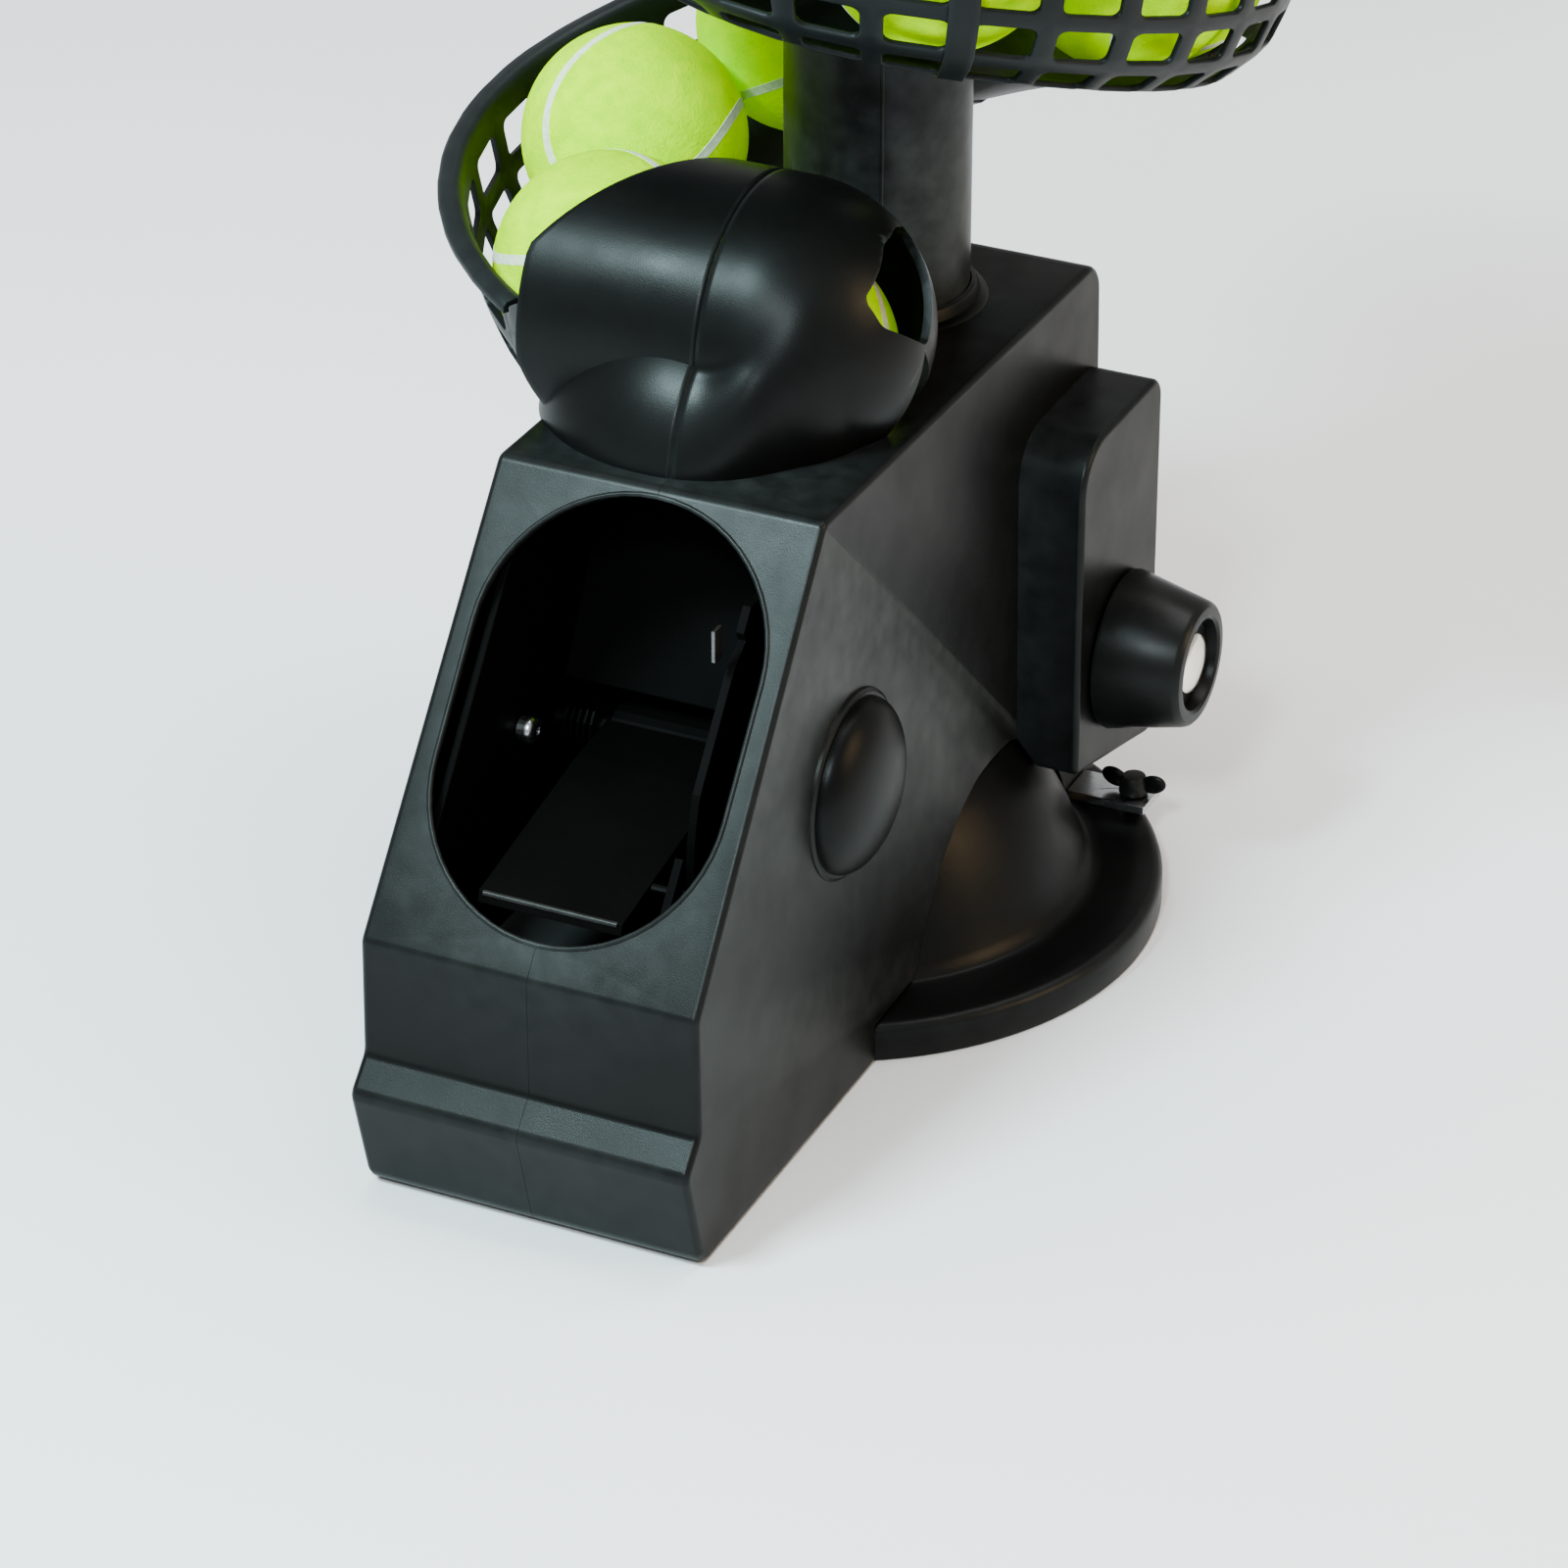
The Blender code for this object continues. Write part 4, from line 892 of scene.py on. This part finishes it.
def ramp_segment(index, start, stop):
    """One length of the slotted trough; the lowest one starts with a plain stretch."""
    t = Trough()
    first = FIRST_CELL if index == 0 else start
    seam = math.degrees(0.00015 / TROUGH[-1][0])
    angles = []
    if first > start:
        angles += [start + seam + (first - start - seam) * k / 3 for k in range(3)]
    a = first
    cells = []
    while a < stop - 0.5:
        cells.append((a, a + CELL))
        angles += cell_angles(a, a + CELL, WINDOW_CORNER)[:-1]
        a += CELL
    angles.append(stop)
    for a0, a1 in cells:
        for row in WINDOW_ROWS:
            t.cell(a0, a1, row, WINDOW_CORNER)
    last = len(TROUGH) - 1
    for u in range(0, WINDOW_ROWS[0] - 1):
        t.strip(angles, u, u + 1)
    t.strip(angles, WINDOW_ROWS[0] - 1, WINDOW_ROWS[0] - 0.5)
    t.strip(angles, WINDOW_ROWS[-1] + 1.5, WINDOW_ROWS[-1] + 2)
    for u in range(WINDOW_ROWS[-1] + 2, last):
        t.strip(angles, u, u + 1)
    if first > start:
        plain = [x for x in angles if x <= first + 1e-6]
        levels = [WINDOW_ROWS[0] - 0.5]
        dip, share = WINDOW_DIP, math.sin(math.radians(67.5))
        for row in WINDOW_ROWS:
            levels += [row + dip * (1 - share), row + dip]
            levels += [row + 1 - dip, row + 1 - dip + dip * share, row + 1.5]
        for low, high in zip(levels, levels[1:]):
            t.strip(plain, low, high)
    flattest = max(t.bm.faces, key=lambda f: abs(f.normal.z) if f.calc_area() > 0 else 0.0)
    if flattest.normal.z < 0:
        bmesh.ops.reverse_faces(t.bm, faces=t.bm.faces)
    name = "ramp_%d" % (index + 1)
    obj = make_object(name, t.bm, RAMP_BLACK, 50, recalc=False)
    solidify(obj, RAMP_T)
    apply(bevel(obj, 0.00045, 2, 55.0), 50)
    return piece(obj, "housing", "ramp_black", "ramp_segment_%d" % (index + 1))


def saddle(index, angle):
    """Saddle on the column with a ribbed arm under the trough's floor."""
    z = track_height(angle) - SADDLE_DROP
    inner, outer, tall, soft = COLUMN_R + 0.0004, SADDLE_R, SADDLE_HEIGHT, 0.0008
    section = ((inner, -tall), (outer - soft, -tall), (outer, -tall + soft), (outer, -soft),
               (outer - soft, 0.0), (inner, 0.0))
    bm = bmesh.new()
    rows = [[bm.verts.new(around(r, angle + a, z + h)) for r, h in section]
            for a in stations(-SADDLE_HALF_ARC, SADDLE_HALF_ARC, 28)]
    skin(bm, rows, closed=True)
    bm.faces.new(rows[0])
    bm.faces.new(rows[-1])
    place = Matrix.Translation((0, COLUMN_Y, z)) @ Matrix.Rotation(-math.radians(angle), 4, "Z")
    for offset, width, low, high in ((0.0, 0.0068, -0.0021, -0.0003), (-0.0054, 0.0012, -0.0044, -0.0010),
                                     (0.0054, 0.0012, -0.0044, -0.0010)):
        shape = Matrix.Diagonal((2 * width, ARM_LENGTH, high - low, 1.0))
        at = place @ Matrix.Translation((offset, -ARM_LENGTH, (low + high) / 2))
        rib = bmesh.ops.create_cube(bm, size=1.0, matrix=at @ shape)
        edges = list({e for v in rib["verts"] for e in v.link_edges})
        bmesh.ops.bevel(bm, geom=edges, offset=0.0004, segments=2, affect="EDGES")
    body = make_object("saddle_%d" % index, bm, RAMP_BLACK, 35)
    shade(body.data, 38)
    piece(body, "housing", "ramp_black", "ramp_bracket_%d" % index)


def joint_band(index, angle):
    """Thicker socket where two ramp segments meet."""
    bm = bmesh.new()
    rows = []
    for a in stations(angle - BAND_HALF_ARC, angle + BAND_HALF_ARC, 4):
        z = track_height(a)
        row = []
        for r, h in TROUGH[5:]:
            out = Vector((r - TRACK_R, h)).normalized() * (RAMP_T + BAND_PROUD)
            row.append(bm.verts.new(around(r + out.x, a, z + h + out.y)))
        rows.append(row)
    skin(bm, rows)
    face_outwards(bm, topmost=False)
    obj = make_object("ramp_joint_%d" % index, bm, RAMP_BLACK, 50, recalc=False)
    solidify(obj, BAND_PROUD)
    apply(bevel(obj, 0.0003, 2, 55.0), 50)
    piece(obj, "housing", "ramp_black")


def ramp():
    """The segments from the hood upwards, with a band and a bracket at each joint."""
    start, stop = RAMP_START, FIRST_CELL + SEGMENT_CELLS * CELL
    for index in range(5):
        cells = SEGMENT_CELLS if index < 4 else SEGMENT_CELLS - 2
        if index:
            start, stop = stop, stop + cells * CELL
        ramp_segment(index, start, stop)
        if index < 4:
            joint_band(index + 1, stop)
            saddle(index + 1, BRACKET_ANGLES[index])


# ---- column
def column():
    """The tube with its two mould lines, the end cap and the stepped collar."""
    inside = COLUMN_R - COLUMN_WALL
    profile = [(inside, COLUMN_LOW), (COLUMN_R, COLUMN_LOW), (COLUMN_R, COLUMN_TOP - 0.0006),
               (COLUMN_R - 0.0006, COLUMN_TOP), (inside, COLUMN_TOP)]
    tube = revolve("column", profile, 96, HOUSING, (0, COLUMN_Y, 0), loop=True)
    piece(tube, "housing", "housing_black", "column_tube")
    for index, azimuth in enumerate(COLUMN_SEAMS):
        a = math.radians(azimuth)
        x, y = (COLUMN_R - 0.0001) * math.sin(a), COLUMN_Y - (COLUMN_R - 0.0001) * math.cos(a)
        path = [(x, y, COLUMN_LOW + 0.01), (x, y, COLUMN_TOP - 0.001)]
        line = tube_along("column_seam_%d" % (index + 1), path, 0.0006, HOUSING)
        piece(line, "housing", "housing_black")
    top = COLUMN_TOP + 0.0003
    cap = [(COLUMN_R, top), (COLUMN_R, top + 0.0008), (COLUMN_R - 0.0010, top + 0.0020),
           (0.0235, top + 0.0032), (0.0160, top + 0.0052), (0.0080, top + 0.0058), (0.0, top + 0.0060)]
    end = revolve("column_end", cap, 96, HOUSING, (0, COLUMN_Y, 0))
    piece(end, "housing", "housing_black", "column_cap")
    low, inner = COLLAR_Z, COLUMN_R + 0.0004
    ring = [(inner, low), (0.0322, low), (0.0322, low + 0.0009), (0.0312, low + 0.0020),
            (0.0297, low + 0.0026), (0.0290, low + 0.0045), (0.0284, low + 0.0056), (inner, low + 0.0060)]
    collar = revolve("column_ring", ring, 96, HOUSING, (0, COLUMN_Y, 0), loop=True)
    piece(collar, "housing", "housing_black", "column_collar")


# ---- balls
def ball_mesh():
    bm = bmesh.new()
    bmesh.ops.create_icosphere(bm, subdivisions=5, radius=BALL_R)
    obj = make_object("ball_skin", bm, FELT)
    mesh = obj.data
    bpy.data.objects.remove(obj, do_unlink=True)
    return mesh


def seam_mesh():
    """The one closed seam that winds round a tennis ball."""
    bm = bmesh.new()
    wide, narrow = 0.75 * BALL_R, 0.25 * BALL_R
    tall = 2 * math.sqrt(wide * narrow)
    count = 160

    def place(t):
        return Vector((wide * math.cos(t) + narrow * math.cos(3 * t),
                       wide * math.sin(t) - narrow * math.sin(3 * t), tall * math.sin(2 * t)))

    rows = []
    for i in range(count):
        t = 2 * math.pi * i / count
        p = place(t)
        along = (place(t + 0.01) - place(t - 0.01)).normalized()
        out = p.normalized()
        side = out.cross(along).normalized()
        row = []
        for across, height in ((-0.0017, -0.0006), (-0.0014, 0.00012), (0.0, 0.00002), (0.0014, 0.00012),
                               (0.0017, -0.0006)):
            q = (p + side * across).normalized() * (BALL_R + height)
            row.append(bm.verts.new(q))
        rows.append(row)
    skin(bm, rows + rows[:1], closed=True)
    obj = make_object("seam_band", bm, SEAM_PALE, 60)
    mesh = obj.data
    bpy.data.objects.remove(obj, do_unlink=True)
    return mesh


def balls():
    """Felt and seam on every ball; the ones in front are turned to lie as they are seen."""
    felt, band = ball_mesh(), seam_mesh()
    turns = {1: (20, 40, 10), 2: (72, 20, 64), 3: (60, 8, 150), 4: (15, 60, 30)}
    for number in range(1, 14):
        node = "ball_%02d" % number
        low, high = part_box(node)
        centre = (Vector(low) + Vector(high)) / 2
        rx, ry, rz = turns.get(number, (47 * number % 180, 83 * number % 180, 29 * number % 180))
        turn = (Matrix.Rotation(math.radians(rz), 4, "Z") @ Matrix.Rotation(math.radians(ry), 4, "Y")
                @ Matrix.Rotation(math.radians(rx), 4, "X"))
        for name, mesh in (("felt_%02d" % number, felt), ("ball_seam_%02d" % number, band)):
            obj = bpy.data.objects.new(name, mesh)
            SCENE.collection.objects.link(obj)
            obj.matrix_world = Matrix.Translation(centre) @ turn
            bpy.context.view_layer.update()
            if mesh is felt:
                piece(obj, "housing", "felt", node)
            else:
                piece(obj, "housing", "felt")


# ---- base
def base():
    """The turned flange and bell, hollow underneath."""
    outer = [(r, z) for r, z in reversed(BELL)]
    outer += [(0.0880, FLANGE_Z), (FLANGE_R - 0.0030, FLANGE_Z), (FLANGE_R - 0.0016, FLANGE_Z - 0.0004),
              (FLANGE_R - 0.0004, FLANGE_Z - 0.0016), (FLANGE_R, FLANGE_Z - 0.0030), (FLANGE_R, 0.0012),
              (FLANGE_R - 0.0004, 0.0003), (FLANGE_R - 0.0012, 0.0), (0.0904, 0.0), (0.0904, 0.0033),
              (0.0790, 0.0033)]
    outer += [(r - BELL_WALL, z - BELL_WALL) for r, z in BELL[3:-1]]
    outer.append((BELL[-1][0], BELL[-1][1] - BELL_WALL))
    bell = revolve("base_bell", outer, 144, HOUSING, loop=True, angle=32)
    piece(bell, "base", "housing_black", "base_stand")


# ---- control box and knob
def side_box():
    """The control box's cover with softened edges."""
    outline = rounded([(BOX_FRONT, BOX_LOW_FRONT, 0.0025), (BOX_REAR, BOX_LOW_REAR, 0.0030),
                       (BOX_REAR, BOX_TOP, 0.0070), (BOX_FRONT, BOX_TOP, 0.0150)])
    cover = prism("box_cover", outline, 0.0, 1.0, HOUSING)
    for v in cover.data.vertices:
        v.co.x = BOX_X if v.co.x > 0.5 else half_width(v.co.z) - 0.0004
    bm = bmesh.new()
    bm.from_mesh(cover.data)
    rim = [e for e in bm.edges if all(abs(v.co.x - BOX_X) < 1e-6 for v in e.verts)]
    bmesh.ops.bevel(bm, geom=rim, offset=0.0018, segments=4, profile=0.5, affect="EDGES")
    bm.to_mesh(cover.data)
    bm.free()
    cut(cover, base_room(), cylinder("knob_hole", (0.060, KNOB_Y, KNOB_Z), (0.080, KNOB_Y, KNOB_Z), 0.0036))
    shade(cover.data, 38)
    even_normals(cover)
    apply(cover)
    piece(cover, "housing", "housing_black", "side_box_cover")


def knob():
    """The tapered knob with its rounded rim, the recess in its end and the disc in the recess."""
    base_x, end_x = BOX_X + 0.0003, KNOB_X1
    profile = [(0.0030, base_x), (KNOB_R0 - 0.0014, base_x), (KNOB_R0 - 0.0003, base_x + 0.0006),
               (KNOB_R0, base_x + 0.0018), (KNOB_R1 + 0.0004, end_x - 0.0024),
               (KNOB_R1 - 0.0002, end_x - 0.0010), (KNOB_R1 - 0.0012, end_x - 0.0002),
               (KNOB_R1 - 0.0026, end_x), (0.0148, end_x), (0.0138, end_x - 0.0006),
               (0.0128, end_x - 0.0040), (0.0095, end_x - 0.0042), (0.0, end_x - 0.0042)]
    body = revolve("knob_body", profile, 96, KNOB_BLACK, (0, KNOB_Y, KNOB_Z), "X", angle=30)
    piece(body, "knob", "knob_black", "control_knob")
    face = end_x - 0.0039
    disc = [(0.0092, face), (0.0092, face + 0.0012), (0.0086, face + 0.0018), (0.0070, face + 0.0024),
            (0.0045, face + 0.0028), (0.0, face + 0.0030)]
    button = revolve("knob_button", disc, 64, DISC_METAL, (0, KNOB_Y, KNOB_Z), "X", angle=40)
    piece(button, "knob", "steel", "knob_disc")


def wing():
    """Wing bolt: threaded shank, hub and two rounded wings."""
    shank = []
    for i in range(9):
        z = 0.0122 + 0.0006 * i
        shank += [(0.0025, z), (0.0027, z + 0.0003)]
    hub = [(0.0027, 0.0173), (0.0042, 0.0173), (0.0045, 0.0178), (0.0042, 0.0215), (0.0034, 0.0230),
           (0.0, 0.0234)]
    profile = [(0.0, 0.0122)] + shank + hub
    bolt = revolve("wing_screw", profile, 40, KNOB_BLACK, (WING_X, WING_Y, 0), angle=40)
    for side in (-1, 1):
        bm = bmesh.new()
        bmesh.ops.create_uvsphere(bm, u_segments=28, v_segments=16, radius=1.0)
        bmesh.ops.scale(bm, verts=bm.verts, vec=(0.0042, 0.0013, 0.0030))
        bmesh.ops.rotate(bm, verts=bm.verts, matrix=Matrix.Rotation(-side * math.radians(WING_TILT), 3, "Y"))
        bmesh.ops.translate(bm, verts=bm.verts, vec=(WING_X + side * 0.0062, WING_Y, 0.0212))
        cut(bolt, make_object("wing_lobe", bm), operation="UNION")
    shade(bolt.data, 40)
    piece(bolt, "wing", "knob_black", "wing_bolt")


# ---- inside
def paddle_lip():
    """Rounded bead along the front edge of the throwing arm's paddle."""
    low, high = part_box("throw_arm")
    y, inset = low[1] + 0.0012, 0.0015
    path = [(low[0] + inset, y, LIP_Z), (high[0] - inset, y, LIP_Z)]
    lip = tube_along("paddle_lip", path, LIP_R, KNOB_BLACK, sides=4)
    piece(lip, "arm", "inner_black")


def screw_head():
    """Domed head with a hollow drive over the screw in the left inner wall."""
    r = SCREW_R
    profile = [(r, -0.0006), (r, 0.0004), (r * 0.86, 0.0014), (r * 0.55, 0.0021), (r * 0.30, 0.0022),
               (r * 0.26, 0.0010), (0.0, 0.0010)]
    head = revolve("chamber_screw_head", profile, 40, STEEL, SCREW_PLACE, "X", angle=35)
    piece(head, "housing", "steel")


def carried_over():
    """CAD pieces that keep their shape get their materials, and softened edges where they show."""
    slots = {entry["node"]: entry["material_slot"] for entry in frame["record"]["subparts"]}
    soft = {"throw_arm", "chamber_left_wall", "chamber_right_wall", "feed_chute", "rocker_switch",
            "switch_bezel", "lock_lug", "arm_tail", "motor_bracket", "battery_door", "battery_pack",
            "arm_stop", "chassis_plate", "circuit_board", "dc_jack", "motor"}
    worn = metal("worn_steel", (0.10, 0.10, 0.10), (0.20, 0.20, 0.20), 0.42)
    blackened = {"arm_spring", "arm_tail", "arm_shaft", "arm_pin", "cam_stud", "motor_bracket"}
    for name, obj in frame["nodes"].items():
        if obj.hide_render:
            continue
        mat = DARK_STEEL if name in blackened else worn if name == "arm_stop" else BY_SLOT[slots[name]]
        obj.data.materials.clear()
        obj.data.materials.append(mat)
        weld = obj.modifiers.new("weld", "WELD")
        weld.merge_threshold = MERGE
        if name in soft:
            low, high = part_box(name)
            thin = min(h - l for l, h in zip(low, high))
            bevel(obj, min(0.0006, thin * 0.2), 2, 35.0)


# ---- stage
def area_light(name, place, target, size, power, colour=(1, 1, 1)):
    """Soft rectangular light turned to the target."""
    data = bpy.data.lights.new(name, "AREA")
    data.shape = "RECTANGLE"
    data.size, data.size_y = size
    data.energy = power
    data.color = colour
    obj = bpy.data.objects.new(name, data)
    SCENE.collection.objects.link(obj)
    obj.location = place
    obj.rotation_mode = "QUATERNION"
    obj.rotation_quaternion = (Vector(target) - Vector(place)).to_track_quat("-Z", "Y")
    return obj


def studio():
    """Pale floor and sky, a cool key and front light, and a warm one from the side."""
    bm = bmesh.new()
    bmesh.ops.create_grid(bm, x_segments=8, y_segments=8, size=4.0)
    floor = make_object("floor", bm, floor_material(), recalc=False)
    world = bpy.data.worlds.new("studio")
    world.use_nodes = True
    world.node_tree.nodes["Background"].inputs["Color"].default_value = (0.96, 0.95, 0.95, 1.0)
    world.node_tree.nodes["Background"].inputs["Strength"].default_value = 0.55
    SCENE.world = world
    SCENE.view_settings.look = "AgX - Medium High Contrast"
    aim = (0, -0.05, 0.15)
    area_light("key", (-0.45, -1.00, 1.45), aim, (0.44, 0.26), 38.0, (0.74, 0.97, 1.0))
    area_light("front", (0.30, -1.25, 1.15), aim, (0.20, 0.20), 13.0, (0.84, 0.97, 1.0))
    area_light("warm_side", (1.60, 0.20, 0.90), aim, (0.70, 0.70), 11.0, (1.0, 0.70, 0.38))
    area_light("top", (0.10, 0.40, 1.80), aim, (1.20, 1.20), 24.0)


camera()
housing()
hood()
ramp()
column()
balls()
base()
side_box()
knob()
wing()
paddle_lip()
screw_head()
carried_over()
studio()
